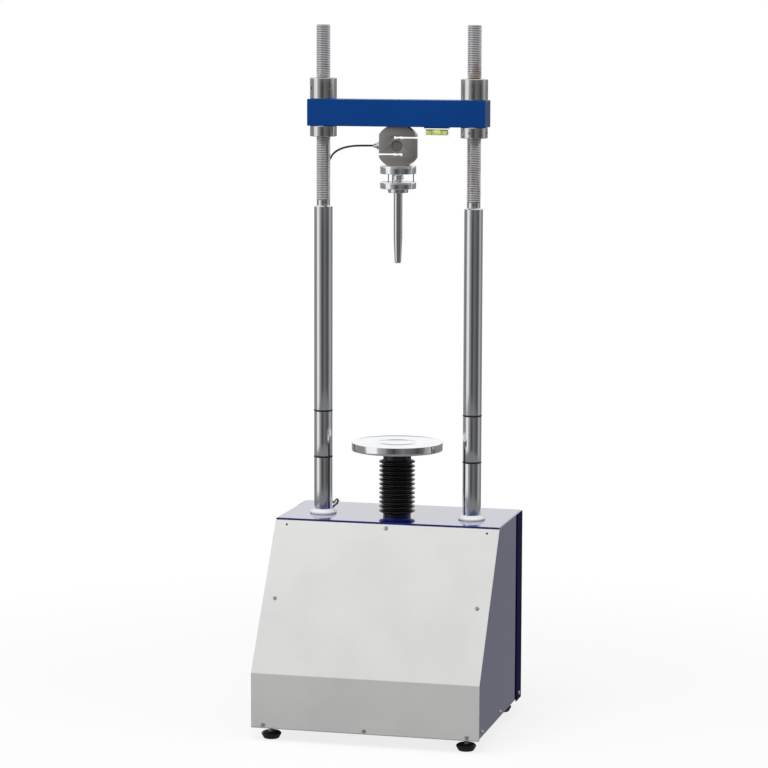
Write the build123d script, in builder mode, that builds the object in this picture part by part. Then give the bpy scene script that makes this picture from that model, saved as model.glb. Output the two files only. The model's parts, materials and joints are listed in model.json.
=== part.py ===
from build123d import *
import math
import os

os.makedirs("parts", exist_ok=True)

# Bench press for soil testing: a sheet-metal cabinet with a screw jack, two stepped columns, a crosshead
# that is set on the column threads, a load cell with a ball seat and a ram, and a platen on the lead screw.
# Millimetres, +Z up, front towards -Y. The origin is on the floor, under the middle of the whole frame.

# Cabinet
cabinet_width = 396.0
cabinet_depth = 346.0
top_depth = 190.0
upright_height = 95.0
slope_rise = 241.0
foot_height = 22.0
sheet = 1.5
panel_lift = 4.0
lip_depth = 3.0
seam_gap = 0.3
bend_radius = 1.0
return_flange = 12.0
rear_flange = 44.0
column_setback = 118.0

# Base frame and top plate
tray_sheet = 3.0
tray_wall = 28.0
angle_leg = 25.0
angle_sheet = 3.0
plate_thickness = 20.0
foot_boss_diameter = 22.0
foot_boss_height = 9.0
foot_inset = 28.0

# Levelling feet
pad_diameter = 34.0
pad_foot_diameter = 27.0
pad_height = 9.0
pad_edge = 1.5
pad_shoulder = 3.0
pad_top_edge = 1.0
stud_diameter = 8.0
stud_rise = 34.0
lock_nut_flats = 13.0
lock_nut_height = 5.0
thread_clearance = 0.075

# Cover screws
screw_head_diameter = 8.0
screw_head_height = 2.2
screw_shank_diameter = 4.0
screw_shank_length = 8.0
bare_hole_diameter = 4.0
front_screw_inset = 21.0
top_screw_drop = 11.0
corner_hole_drop = 12.0
middle_screw_share = 0.52
edge_screw_height = 7.0
side_screw_inset = 26.0

# Columns
column_spacing = 266.0
column_diameter = 32.0
column_step_height = 538.0
column_height = 849.0
thread_diameter = 25.0
relief_diameter = 23.0
relief_height = 9.5
column_chamfer = 1.5
column_tail_diameter = 24.0
column_tail_length = 30.0
column_nut_flats = 36.0
column_nut_height = 18.0
ring_heights = (100.0, 181.0)
ring_section = 1.6
ring_proud = 0.5
collar_diameter = 46.6
collar_top_diameter = 37.0
collar_height = 7.5

# Crosshead and its nuts
crosshead_width = 313.0
crosshead_depth = 44.0
crosshead_height = 46.0
crosshead_bottom = 676.0
crosshead_edge = 0.8
round_nut_diameter = 46.4
upper_nut_height = 36.0
lower_nut_height = 18.5
tommy_hole_diameter = 4.5
tommy_hole_depth = 8.0
nut_edge = 0.8

# Load cell
cell_width = 64.0
cell_height = 67.0
cell_disc_diameter = 75.0
cell_thickness = 19.0
cell_bore_diameter = 19.0
cell_slot_offset = 14.4
cell_slot_width = 3.3
cell_slot_reach = 9.6
keyhole_diameter = 6.6
keyhole_offset = 5.6
potting_recess = 2.0
cell_bolt_diameter = 12.0
cell_bolt_head = 18.0
cell_bolt_engagement = 13.0
cell_bolt_key = 10.0
gland_length = 11.4
gland_nut_flats = 12.0
gland_nut_height = 5.0
gland_nose_diameter = 9.0
gland_taper = 12.0
cable_diameter = 3.5
cable_rest_gap = 0.3

# Ball seat and ram
seat_disc_diameter = 62.0
upper_disc_thickness = 14.0
seat_gap = 14.0
lower_disc_thickness = 11.5
seat_ball_diameter = 19.0
running_clearance = 0.05
seat_screw_diameter = 2.5
seat_screw_radius = 26.6
seat_screw_angle = 23.0
seat_screw_head = 4.8
seat_screw_head_height = 2.0
seat_tilt = 2.0
seat_slack = 0.2
spigot_length = 9.0
ram_flange_diameter = 35.0
ram_flange_thickness = 7.0
ram_diameter = 15.0
ram_length = 121.5
ram_tip_diameter = 11.0
ram_taper = 46.0
ram_tip_round = 3.0

# Bubble level
level_plate_thickness = 2.0
level_length = 42.0
level_block_height = 14.0
level_block_depth = 14.0
level_centre = 70.5
level_forward = 12.0
vial_diameter = 10.0
vial_length = 38.0
level_block_round = 1.5

# Platen, lead screw and bellows
platen_diameter = 158.0
platen_thickness = 14.0
platen_gap = 116.0
platen_groove_outer = 64.6
platen_groove_inner = 58.0
platen_groove_depth = 1.2
platen_edge = 0.6
platen_spigot_diameter = 43.4
platen_spigot_height = 6.0
screw_diameter = 32.0
screw_stud_diameter = 22.0
screw_stud_length = 9.0
screw_tail = 205.0
travel_up = 40.0
travel_down = 60.0
bellows_crest = 62.0
bellows_root = 47.6
bellows_wall = 1.6
bellows_folds = 13
bellows_pitch = 7.75
top_cuff = 6.0
cuff_clearance = 0.3

# Screw bush, jack and drive
bush_body_diameter = 42.0
bush_collar_diameter = 43.4
bush_collar_height = 7.0
bush_flange_diameter = 60.0
bush_flange_thickness = 4.0
jack_flange_diameter = 134.0
jack_flange_thickness = 12.0
jack_body_diameter = 104.0
bearing_outer_diameter = 80.0
bearing_inner_diameter = 50.0
bearing_width = 16.0
bearing_inner_wall = 5.5
bearing_ring_gap = 0.5
bearing_spacing = 44.0
jack_shoulder_diameter = 72.0
jack_screw_circle = 118.0
jack_screw_diameter = 8.0
jack_screw_head = 13.0
drive_nut_shoulder = 57.0
drive_nut_tail = 46.0
pulley_width = 28.0
pulley_face = 22.0
belt_pitch = 5.0
nut_pulley_teeth = 60
motor_pulley_teeth = 20
tooth_depth = 2.0
tooth_outline = ((0.0, 0.0), (0.3, 0.0), (0.42, 1.0), (0.88, 1.0))
pulley_gap = 2.0
pulley_rim_rise = 1.0
belt_thickness = 2.4
belt_width = 20.0
belt_clearance = 0.3
motor_offset = 118.0
motor_shaft_diameter = 14.0
motor_shaft_engagement = 20.0
bracket_sheet = 6.0
bracket_gap = 8.0
bracket_length = 100.0
bracket_width = 106.0
gearbox_size = 80.0
gearbox_height = 70.0
gearbox_corner = 8.0
stepper_width = 86.0
stepper_height = 80.0
stepper_corner = 5.0
stepper_cap = 16.0
stepper_corner_cut = 16.0
pilot_diameter = 60.0

# Guide against rotation
guide_offset = 78.0
guide_rod_diameter = 16.0
guide_arm_thickness = 16.0
guide_arm_boss = 56.0
guide_arm_eye = 34.0
guide_arm_lift = 2.0
clamp_slot_width = 2.0
switch_collar = 30.0
switch_collar_height = 10.0
switch_gap = 1.5
switch_length = 28.0
switch_width = 10.0
switch_lap = 2.0

# Electrical pieces
inlet_width = 50.0
inlet_height = 58.0
inlet_flange = 3.0
inlet_rim = 3.0
inlet_corner = 3.0
inlet_depth = 28.0
inlet_offset = 96.0
inlet_rise = 70.0
socket_recess_width = 24.0
socket_recess_height = 16.0
socket_recess_depth = 15.0
pin_width = 2.0
pin_height = 4.0
pin_length = 12.0
pin_spread = 7.0
pin_stagger = 1.5
rocker_width = 22.0
rocker_height = 15.0
rocker_depth = 12.0
rocker_tilt = 10.0
rocker_clearance = 0.3
rocker_swing_room = 1.2
rocker_pivot_depth = 4.0
rocker_heel_depth = 6.0
rocker_heel_height = 6.0
rocker_edge_thickness = 3.0
rocker_nose_reach = 4.5
rocker_middle_reach = 3.2
round_socket_diameter = 18.0
round_socket_rim = 23.0
round_socket_reach = 6.0
round_socket_depth = 16.0
round_socket_flange = 2.0
cable_x = -141.0
cell_socket_drop = 96.0
plug_diameter = 19.0
plug_ring_length = 14.0
plug_elbow = 15.0
plug_elbow_reach = 24.0
plug_boot_length = 12.0
plug_boot_diameter = 10.8
plug_boot_taper = 8.0
data_socket_width = 31.0
data_socket_height = 12.5
data_socket_offset = -60.0
data_socket_flange = 1.0
data_socket_corner = 1.5
data_body_width = 23.0
data_body_height = 10.5
data_body_depth = 10.0
data_shell_width = 18.0
data_shell_height = 8.4
data_shell_slant = 80.0
data_shell_reach = 5.5
board_length = 160.0
board_width = 100.0
board_thickness = 1.6
board_standoff = 8.0
board_x = -95.0
board_setback = 98.0
standoff_diameter = 6.0
standoff_inset = 6.0
component_height = 14.0
relay_size = (40.0, 34.0)
relay_place = (-50.0, 20.0)
driver_size = 24.0
driver_place = (10.0, 24.0)
capacitor_diameter = 18.0
capacitor_places = ((52.0, -24.0), (52.0, 4.0))
supply_length = 150.0
supply_width = 90.0
supply_height = 38.0
supply_x = 95.0
supply_slots = 6
supply_slot_pitch = 10.0
supply_slot_length = 90.0
supply_slot_width = 4.0
supply_slot_depth = 1.5
vent_slots = 6
vent_slot_length = 60.0
vent_slot_width = 4.0
vent_pitch = 12.0
vent_spread = 90.0
vent_drop = 96.0

# Places that follow from the sizes
base_z = foot_height + upright_height + slope_rise
rear_y = cabinet_depth / 2 + (screw_head_height - round_socket_reach) / 2
front_y = rear_y - cabinet_depth
top_front_y = rear_y - top_depth
column_y = rear_y - column_setback
column_x = column_spacing / 2
half_width = cabinet_width / 2
front_screw_spread = half_width - front_screw_inset
slope_angle = math.degrees(math.atan2(top_front_y - front_y, slope_rise))
slope_length = math.hypot(top_front_y - front_y, slope_rise)
plate_top = base_z - sheet
plate_bottom = plate_top - plate_thickness
tray_bottom = foot_height + sheet
tray_floor = tray_bottom + tray_sheet
inner_half_width = half_width - 2 * sheet - 2 * seam_gap
inner_rear_y = rear_y - sheet - seam_gap
crosshead_z = base_z + crosshead_bottom
crosshead_top = crosshead_z + crosshead_height
cell_bottom = crosshead_z - cell_height
cell_centre = crosshead_z - cell_height / 2
upper_disc_bottom = cell_bottom - upper_disc_thickness
ball_z = upper_disc_bottom - seat_gap / 2
lower_disc_top = upper_disc_bottom - seat_gap
lower_disc_bottom = lower_disc_top - lower_disc_thickness
ram_top = lower_disc_bottom - ram_flange_thickness
platen_bottom = base_z + platen_gap
foot_x = half_width - foot_inset
foot_front_y = front_y + foot_inset
foot_rear_y = rear_y - foot_inset
axis_origin = (0, column_y, 0)


def keep(piece, name):
    """Label a finished sub-part and write it as one STEP file."""
    piece.part.label = name
    export_step(piece.part, f"parts/{name}.step")


def at_height(z, x=0.0, y=column_y):
    """A level sketch plane at a height, over a point of the floor."""
    return Plane((x, y, z))


def slope_point(drop, inward=0.0):
    """A point (y, z) on the sloping front, a distance down it and a depth behind its face."""
    angle = math.radians(slope_angle)
    y = top_front_y - drop * math.sin(angle) + inward * math.cos(angle)
    z = base_z - drop * math.cos(angle) - inward * math.sin(angle)
    return y, z


def slope_plane(drop, inward=0.0):
    """A plane on the sloping front that faces outwards."""
    y, z = slope_point(drop, inward)
    angle = math.radians(slope_angle)
    return Plane(origin=(0, y, z), x_dir=(1, 0, 0), z_dir=(0, -math.cos(angle), math.sin(angle)))


def front_outline(inset, top_z, bottom_z):
    """Points (y, z) of the front, moved inwards by an inset, from a top height down to a bottom height."""
    angle = math.radians(slope_angle)
    knee_shift = inset * math.tan(angle / 2)
    knee = (front_y + inset, foot_height + upright_height + knee_shift)
    top_y = knee[0] + (top_z - knee[1]) * math.tan(angle)
    return [(top_y, top_z), knee, (front_y + inset, bottom_z)]


# Screws of the covers: the front, the sides' lower edges and the rear
side_bottom = foot_height + panel_lift
side_screw_z = side_bottom + edge_screw_height
side_screw_ys = (front_y + side_screw_inset, (front_y + rear_y) / 2, rear_y - rear_flange / 2)
rear_screw_z = (foot_height + side_screw_inset, plate_bottom + plate_thickness / 2)


screw_planes = []
for drop, columns in ((top_screw_drop, (0,)), (middle_screw_share * slope_length, (-1, 1))):
    face = slope_plane(drop)
    for column in columns:
        place = face.origin + Vector(column * front_screw_spread, 0, 0)
        screw_planes.append(Plane(place, face.x_dir, face.z_dir))
for column in (-1, 0, 1):
    place = (column * front_screw_spread, front_y, foot_height + edge_screw_height)
    screw_planes.append(Plane(place, (1, 0, 0), (0, -1, 0)))
for side in (-1, 1):
    for y in side_screw_ys:
        lap = sheet if y > rear_y - rear_flange else 0
        screw_planes.append(Plane((side * (half_width + lap), y, side_screw_z), (0, 1, 0), (side, 0, 0)))
    for z in rear_screw_z:
        screw_planes.append(Plane((side * front_screw_spread, rear_y, z), (1, 0, 0), (0, 1, 0)))
with BuildPart() as screw_shanks:
    for plane in screw_planes:
        with BuildSketch(plane):
            Circle(screw_shank_diameter / 2)
        extrude(amount=-screw_shank_length)
with BuildPart() as cover_screws:
    add(screw_shanks.part)
    for plane in screw_planes:
        with BuildSketch(plane):
            Circle(screw_head_diameter / 2)
        extrude(amount=screw_head_height)
keep(cover_screws, "cover_screws")

# Cover over the top and both sides, folded from one sheet
side_inset = sheet + seam_gap
outer_bend = bend_radius + sheet
side_front = front_outline(side_inset, plate_top, side_bottom)
with BuildPart() as wrap_cover:
    for side in (-1, 1):
        with BuildSketch(Plane.YZ.offset(side * (half_width - sheet / 2))):
            with BuildLine():
                Polyline(*side_front, (inner_rear_y, side_bottom), (inner_rear_y, plate_top), close=True)
            make_face()
        extrude(amount=sheet / 2, both=True)
    with BuildSketch(Plane.XY.offset(plate_top)):
        with Locations((0, (top_front_y + rear_y) / 2)):
            Rectangle(cabinet_width, top_depth)
        with Locations((-column_x, column_y), (column_x, column_y)):
            Circle(column_diameter / 2 + running_clearance, mode=Mode.SUBTRACT)
        with Locations((0, column_y)):
            Circle(bush_collar_diameter / 2 + seam_gap, mode=Mode.SUBTRACT)
    extrude(amount=sheet)
    with BuildSketch(Plane.XY.offset(base_z - lip_depth)):
        with Locations((0, top_front_y + sheet / 2)):
            Rectangle(cabinet_width, sheet)
    extrude(amount=lip_depth)
    folds = wrap_cover.edges().filter_by(Axis.Y).group_by(Axis.Z)
    fillet([edge for edge in folds[-1] if abs(edge.center().X) > half_width - sheet / 2], outer_bend)
    add(screw_shanks.part, mode=Mode.SUBTRACT)
keep(wrap_cover, "wrap_cover")



def is_knee(height):
    """Whether a height is that of the bend between the upright strip and the slope."""
    return abs(height - foot_height - upright_height) < sheet


# Sloping front cover, with a return flange down each side and along the bottom
cover_top = base_z - lip_depth - seam_gap
flange_half = half_width - sheet - seam_gap
with BuildPart() as front_cover:
    with BuildSketch(Plane.YZ):
        with BuildLine():
            Polyline(
                *front_outline(0, cover_top, foot_height),
                *reversed(front_outline(sheet, cover_top, foot_height)),
                close=True,
            )
        make_face()
    extrude(amount=half_width, both=True)
    knee_edges = front_cover.edges().filter_by(Axis.X).filter_by(lambda edge: is_knee(edge.center().Z))
    fillet(knee_edges.sort_by(Axis.Y)[0], outer_bend)
    fillet(knee_edges.sort_by(Axis.Y)[-1], bend_radius)
    for side in (-1, 1):
        with BuildSketch(Plane.YZ.offset(side * (flange_half - sheet / 2))):
            with BuildLine():
                Polyline(
                    *front_outline(sheet, plate_bottom, foot_height),
                    *reversed(front_outline(sheet + return_flange, plate_bottom, foot_height)),
                    close=True,
                )
            make_face()
        extrude(amount=sheet / 2, both=True)
    with BuildSketch(Plane.XY.offset(foot_height)):
        with Locations((0, front_y + sheet + return_flange / 2)):
            Rectangle(2 * flange_half, return_flange)
    extrude(amount=sheet)
    fillet(front_cover.edges().filter_by(Axis.X).group_by(Axis.Z)[0].sort_by(Axis.Y)[0], outer_bend)
    with BuildSketch(slope_plane(corner_hole_drop)):
        with Locations((-front_screw_spread, 0), (front_screw_spread, 0)):
            Circle(bare_hole_diameter / 2)
    extrude(amount=-2 * sheet, mode=Mode.SUBTRACT)
    add(screw_shanks.part, mode=Mode.SUBTRACT)
keep(front_cover, "front_cover")

# Rear cover: a pan whose side flanges lap over the wrap
with BuildPart() as rear_cover:
    with BuildSketch(Plane.XY.offset(foot_height)):
        with Locations((0, rear_y - sheet / 2)):
            Rectangle(cabinet_width + 2 * sheet, sheet)
        for side in (-1, 1):
            with Locations((side * (half_width + sheet / 2), rear_y - rear_flange / 2)):
                Rectangle(sheet, rear_flange)
    extrude(amount=plate_top - foot_height)
    fillet(rear_cover.edges().filter_by(Axis.Z).group_by(Axis.Y)[-1], outer_bend)
    with BuildSketch(Plane.XZ.offset(-rear_y)):
        with Locations((inlet_offset, foot_height + inlet_rise)):
            Rectangle(inlet_width - 2 * inlet_rim, inlet_height - 2 * inlet_rim)
        with Locations((cable_x, base_z - cell_socket_drop)):
            Circle(round_socket_diameter / 2)
        with Locations((data_socket_offset, foot_height + inlet_rise)):
            Rectangle(data_body_width, data_body_height)
        with Locations((0, base_z - vent_drop)):
            with GridLocations(vent_spread, vent_pitch, 2, vent_slots):
                SlotOverall(vent_slot_length, vent_slot_width)
    extrude(amount=2 * sheet, mode=Mode.SUBTRACT)
    add(screw_shanks.part, mode=Mode.SUBTRACT)
keep(rear_cover, "rear_cover")

# Welded base frame: a folded tray, four angle posts and two sloping angles behind the front cover
tray_front_y = front_y + sheet + seam_gap
tray_rear_y = inner_rear_y
tray_middle_y = (tray_front_y + tray_rear_y) / 2
tray_depth = tray_rear_y - tray_front_y
feet = {
    "front_left": (-foot_x, foot_front_y),
    "front_right": (foot_x, foot_front_y),
    "rear_left": (-foot_x, foot_rear_y),
    "rear_right": (foot_x, foot_rear_y),
}
plate_front = front_outline(sheet + seam_gap, plate_top, plate_bottom)
post_front_y = plate_front[0][0] + angle_leg
with BuildPart() as base_frame:
    with BuildSketch(at_height(tray_bottom, 0, tray_middle_y)):
        Rectangle(2 * inner_half_width, tray_depth)
    extrude(amount=tray_wall)
    with BuildSketch(at_height(tray_floor, 0, tray_middle_y)):
        Rectangle(2 * (inner_half_width - tray_sheet), tray_depth - 2 * tray_sheet)
    extrude(amount=tray_wall, mode=Mode.SUBTRACT)
    with BuildSketch(Plane.XY.offset(tray_floor)):
        with Locations(*feet.values()):
            Circle(foot_boss_diameter / 2)
    extrude(amount=foot_boss_height)
    for side in (-1, 1):
        for y, facing in ((tray_rear_y, -1), (post_front_y, 1)):
            corner = side * inner_half_width
            with BuildSketch(Plane.XY.offset(tray_floor)):
                with Locations((corner - side * angle_leg / 2, y + facing * angle_sheet / 2)):
                    Rectangle(angle_leg, angle_sheet)
                with Locations((corner - side * angle_sheet / 2, y + facing * angle_leg / 2)):
                    Rectangle(angle_sheet, angle_leg)
            extrude(amount=plate_bottom - tray_floor)
        stay_outer = front_outline(sheet + seam_gap, plate_bottom, tray_floor)
        stay_skin = front_outline(sheet + seam_gap + angle_sheet, plate_bottom, tray_floor)
        stay_leg = front_outline(sheet + seam_gap + angle_leg, plate_bottom, tray_floor)
        for inner, width in ((stay_skin, angle_leg), (stay_leg, angle_sheet)):
            with BuildSketch(Plane.YZ.offset(side * (inner_half_width - seam_gap - sheet - width / 2))):
                with BuildLine():
                    Polyline(*stay_outer, *reversed(inner), close=True)
                make_face()
            extrude(amount=width / 2, both=True)
    with BuildSketch(Plane.XY.offset(foot_height)):
        with Locations(*feet.values()):
            Circle(stud_diameter / 2 + thread_clearance)
    extrude(amount=tray_wall, mode=Mode.SUBTRACT)
    add(screw_shanks.part, mode=Mode.SUBTRACT)
keep(base_frame, "base_frame")

# Thick top plate that carries the columns and the jack; its front edge follows the slope
with BuildPart() as top_plate:
    with BuildSketch(Plane.YZ):
        with BuildLine():
            Polyline(
                (plate_front[0][0] + sheet, plate_top),
                (plate_front[0][0] + sheet, base_z - lip_depth),
                front_outline(sheet + seam_gap, base_z - lip_depth, side_bottom)[0],
                front_outline(sheet + seam_gap, plate_bottom, side_bottom)[0],
                (inner_rear_y, plate_bottom),
                (inner_rear_y, plate_top),
                close=True,
            )
        make_face()
    extrude(amount=inner_half_width - sheet, both=True)
    with BuildSketch(Plane.XY.offset(plate_bottom)):
        with Locations((-column_x, column_y), (column_x, column_y)):
            Circle(column_tail_diameter / 2)
        with Locations((0, column_y)):
            Circle(bush_body_diameter / 2)
            with PolarLocations(jack_screw_circle / 2, 4, start_angle=45):
                Circle(jack_screw_diameter / 2)
    extrude(amount=plate_thickness, mode=Mode.SUBTRACT)
    with BuildSketch(at_height(plate_top - bush_flange_thickness)):
        Circle(bush_flange_diameter / 2)
    extrude(amount=bush_flange_thickness, mode=Mode.SUBTRACT)
    add(screw_shanks.part, mode=Mode.SUBTRACT)
keep(top_plate, "top_plate")

# Levelling feet: a rubber pad moulded on a threaded stud
for name, (x, y) in feet.items():
    with BuildPart() as foot:
        with BuildSketch(Plane.XZ.offset(-y)):
            with BuildLine():
                Polyline(
                    (x, 0),
                    (x + pad_foot_diameter / 2 - pad_edge, 0),
                    (x + pad_foot_diameter / 2, pad_edge),
                    (x + pad_diameter / 2, pad_height - pad_shoulder),
                    (x + pad_diameter / 2, pad_height - pad_top_edge),
                    (x + pad_diameter / 2 - pad_top_edge, pad_height),
                    (x + stud_diameter / 2, pad_height),
                    (x + stud_diameter / 2, stud_rise),
                    (x, stud_rise),
                    close=True,
                )
            make_face()
        revolve(axis=Axis((x, y, 0), (0, 0, 1)))
    keep(foot, f"foot_{name}")

# Lock nuts of the feet, drawn up against the tray
with BuildPart() as foot_lock_nuts:
    with BuildSketch(Plane.XY.offset(tray_bottom - lock_nut_height)):
        with Locations(*feet.values()):
            RegularPolygon(lock_nut_flats / 2, 6, major_radius=False)
            Circle(stud_diameter / 2 + thread_clearance, mode=Mode.SUBTRACT)
    extrude(amount=lock_nut_height)
keep(foot_lock_nuts, "foot_lock_nuts")

# Columns: a thick shank that stands on the top plate, a relief and a long thread above the step
step_z = base_z + column_step_height
column_top = base_z + column_height
tail_z = plate_bottom - column_tail_length
groove_width = 2 * ring_section
for name, x in (("column_left", -column_x), ("column_right", column_x)):
    with BuildPart() as column:
        with BuildSketch(Plane.XZ.offset(-column_y)):
            with BuildLine():
                Polyline(
                    (x, tail_z),
                    (x + column_tail_diameter / 2, tail_z),
                    (x + column_tail_diameter / 2, plate_top),
                    (x + column_diameter / 2, plate_top),
                    (x + column_diameter / 2, step_z - column_chamfer),
                    (x + column_diameter / 2 - column_chamfer, step_z),
                    (x + relief_diameter / 2, step_z),
                    (x + relief_diameter / 2, step_z + relief_height),
                    (x + thread_diameter / 2, step_z + relief_height),
                    (x + thread_diameter / 2, column_top - column_chamfer),
                    (x + thread_diameter / 2 - column_chamfer, column_top),
                    (x, column_top),
                    close=True,
                )
            make_face()
            for height in ring_heights:
                with Locations((x + column_diameter / 2, base_z + height)):
                    Rectangle(2 * (ring_section - ring_proud), groove_width, mode=Mode.SUBTRACT)
        revolve(axis=Axis((x, column_y, 0), (0, 0, 1)))
    keep(column, name)

# Rubber rings that mark two heights on each column
ring_inner = column_diameter / 2 - (ring_section - ring_proud)
with BuildPart() as column_rings:
    for x in (-column_x, column_x):
        for height in ring_heights:
            with BuildSketch(at_height(base_z + height - groove_width / 2, x)):
                Circle(column_diameter / 2 + ring_proud)
                Circle(ring_inner, mode=Mode.SUBTRACT)
            extrude(amount=groove_width)
keep(column_rings, "column_rings")

# White collars round the feet of the columns
with BuildPart() as column_collars:
    for x in (-column_x, column_x):
        with BuildSketch(Plane.XZ.offset(-column_y)):
            with BuildLine():
                Polyline(
                    (x + column_diameter / 2, base_z),
                    (x + collar_diameter / 2, base_z),
                    (x + collar_diameter / 2, base_z + collar_height / 3),
                    (x + collar_top_diameter / 2, base_z + collar_height),
                    (x + column_diameter / 2, base_z + collar_height),
                    close=True,
                )
            make_face()
        revolve(axis=Axis((x, column_y, 0), (0, 0, 1)))
keep(column_collars, "column_collars")

# Nuts that draw the columns down on the top plate
with BuildPart() as column_base_nuts:
    with BuildSketch(Plane.XY.offset(plate_bottom - column_nut_height)):
        with Locations((-column_x, column_y), (column_x, column_y)):
            RegularPolygon(column_nut_flats / 2, 6, major_radius=False)
            Circle(column_tail_diameter / 2, mode=Mode.SUBTRACT)
    extrude(amount=column_nut_height)
keep(column_base_nuts, "column_base_nuts")

# Crosshead: a bar bored for the column threads, with a counterbore for the load cell's bolt
thread_bore = thread_diameter / 2 + thread_clearance
with BuildPart() as crosshead:
    with BuildSketch(at_height(crosshead_z)):
        Rectangle(crosshead_width, crosshead_depth)
        with Locations((-column_x, 0), (column_x, 0)):
            Circle(thread_bore, mode=Mode.SUBTRACT)
        Circle(cell_bolt_diameter / 2, mode=Mode.SUBTRACT)
    extrude(amount=crosshead_height)
    with BuildSketch(at_height(crosshead_top)):
        Circle(cell_bolt_head / 2)
    extrude(amount=-cell_bolt_diameter, mode=Mode.SUBTRACT)
    chamfer(crosshead.edges().filter_by(GeomType.LINE).filter_by(Axis.Z), crosshead_edge)
    rims = crosshead.edges().filter_by(GeomType.LINE).group_by(Axis.Z)
    chamfer([*rims[0], *rims[-1]], crosshead_edge)
keep(crosshead, "crosshead")


def round_nut(bottom_z, height, x, hole_angles, hole_z):
    """A round nut on a column thread with blind holes for a tommy bar; angles count from the front."""
    with BuildPart() as nut:
        with BuildSketch(at_height(bottom_z, x)):
            Circle(round_nut_diameter / 2)
        extrude(amount=height)
        chamfer(nut.edges().filter_by(GeomType.CIRCLE), nut_edge)
        with BuildSketch(at_height(bottom_z, x)):
            Circle(thread_bore)
        extrude(amount=height, mode=Mode.SUBTRACT)
        for angle in hole_angles:
            out = Vector(0, -1, 0).rotate(Axis.Z, angle)
            origin = Vector(x, column_y, hole_z) + out * (round_nut_diameter / 2)
            with BuildSketch(Plane(origin, (0, 0, 1), out)):
                Circle(tommy_hole_diameter / 2)
            extrude(amount=-tommy_hole_depth, mode=Mode.SUBTRACT)
    return nut


# The four round nuts that clamp the crosshead, with four tommy holes each
quarter_turns = (0, 90, 180, 270)
nut_places = {
    "upper_nut_left": (crosshead_top, upper_nut_height, -column_x, 41),
    "upper_nut_right": (crosshead_top, upper_nut_height, column_x, 2),
    "lower_nut_left": (crosshead_z - lower_nut_height, lower_nut_height, -column_x, 21),
    "lower_nut_right": (crosshead_z - lower_nut_height, lower_nut_height, column_x, -9),
}
for name, (bottom_z, height, x, first_angle) in nut_places.items():
    angles = [first_angle + turn for turn in quarter_turns]
    keep(round_nut(bottom_z, height, x, angles, bottom_z + height / 2), name)

# S-type load cell: a flat disc cut square, with two slots that end in keyholes
with BuildPart() as load_cell:
    with BuildSketch(Plane.XZ.offset(-column_y)):
        with Locations((0, cell_centre)):
            Circle(cell_disc_diameter / 2)
            Rectangle(cell_width, cell_height, mode=Mode.INTERSECT)
            Circle(cell_bore_diameter / 2, mode=Mode.SUBTRACT)
        for side in (-1, 1):
            slot_z = cell_centre + side * cell_slot_offset
            slot_from = -side * cell_slot_reach
            slot_to = side * cell_width / 2
            with Locations(((slot_from + slot_to) / 2, slot_z)):
                Rectangle(abs(slot_to - slot_from), cell_slot_width, mode=Mode.SUBTRACT)
            with Locations((-keyhole_offset, slot_z), (keyhole_offset, slot_z)):
                Circle(keyhole_diameter / 2, mode=Mode.SUBTRACT)
    extrude(amount=cell_thickness / 2, both=True)
    with BuildSketch(at_height(crosshead_z)):
        Circle(cell_bolt_diameter / 2)
    extrude(amount=-cell_bolt_engagement, mode=Mode.SUBTRACT)
    with BuildSketch(at_height(cell_bottom)):
        Circle(cell_bolt_diameter / 2)
    extrude(amount=spigot_length, mode=Mode.SUBTRACT)
keep(load_cell, "load_cell")

# Sealing compound over the gauges in the cell's bore
with BuildPart() as cell_potting:
    with BuildSketch(Plane.XZ.offset(-column_y)):
        with Locations((0, cell_centre)):
            Circle(cell_bore_diameter / 2)
    extrude(amount=cell_thickness / 2 - potting_recess, both=True)
keep(cell_potting, "cell_potting")

# Socket-head bolt from the crosshead's counterbore into the cell
head_z = crosshead_top - cell_bolt_diameter
with BuildPart() as cell_bolt:
    with BuildSketch(at_height(head_z)):
        Circle(cell_bolt_head / 2)
    extrude(amount=cell_bolt_diameter)
    with BuildSketch(at_height(crosshead_top)):
        RegularPolygon(cell_bolt_key / 2, 6, major_radius=False)
    extrude(amount=-cell_bolt_diameter / 2, mode=Mode.SUBTRACT)
    with BuildSketch(at_height(crosshead_z - cell_bolt_engagement)):
        Circle(cell_bolt_diameter / 2)
    extrude(amount=crosshead_height + cell_bolt_engagement - cell_bolt_diameter)
keep(cell_bolt, "cell_bolt")

# Cable gland on the cell's left flat
gland_x = -cell_width / 2
with BuildPart() as cable_gland:
    with BuildSketch(Plane((gland_x, column_y, cell_centre), (0, 1, 0), (-1, 0, 0))):
        RegularPolygon(gland_nut_flats / 2, 6, major_radius=False)
    extrude(amount=gland_nut_height)
    with BuildSketch(Plane((gland_x - gland_nut_height, column_y, cell_centre), (0, 1, 0), (-1, 0, 0))):
        Circle(gland_nose_diameter / 2)
    extrude(amount=gland_length - gland_nut_height, taper=gland_taper)
keep(cable_gland, "cable_gland")

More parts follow.
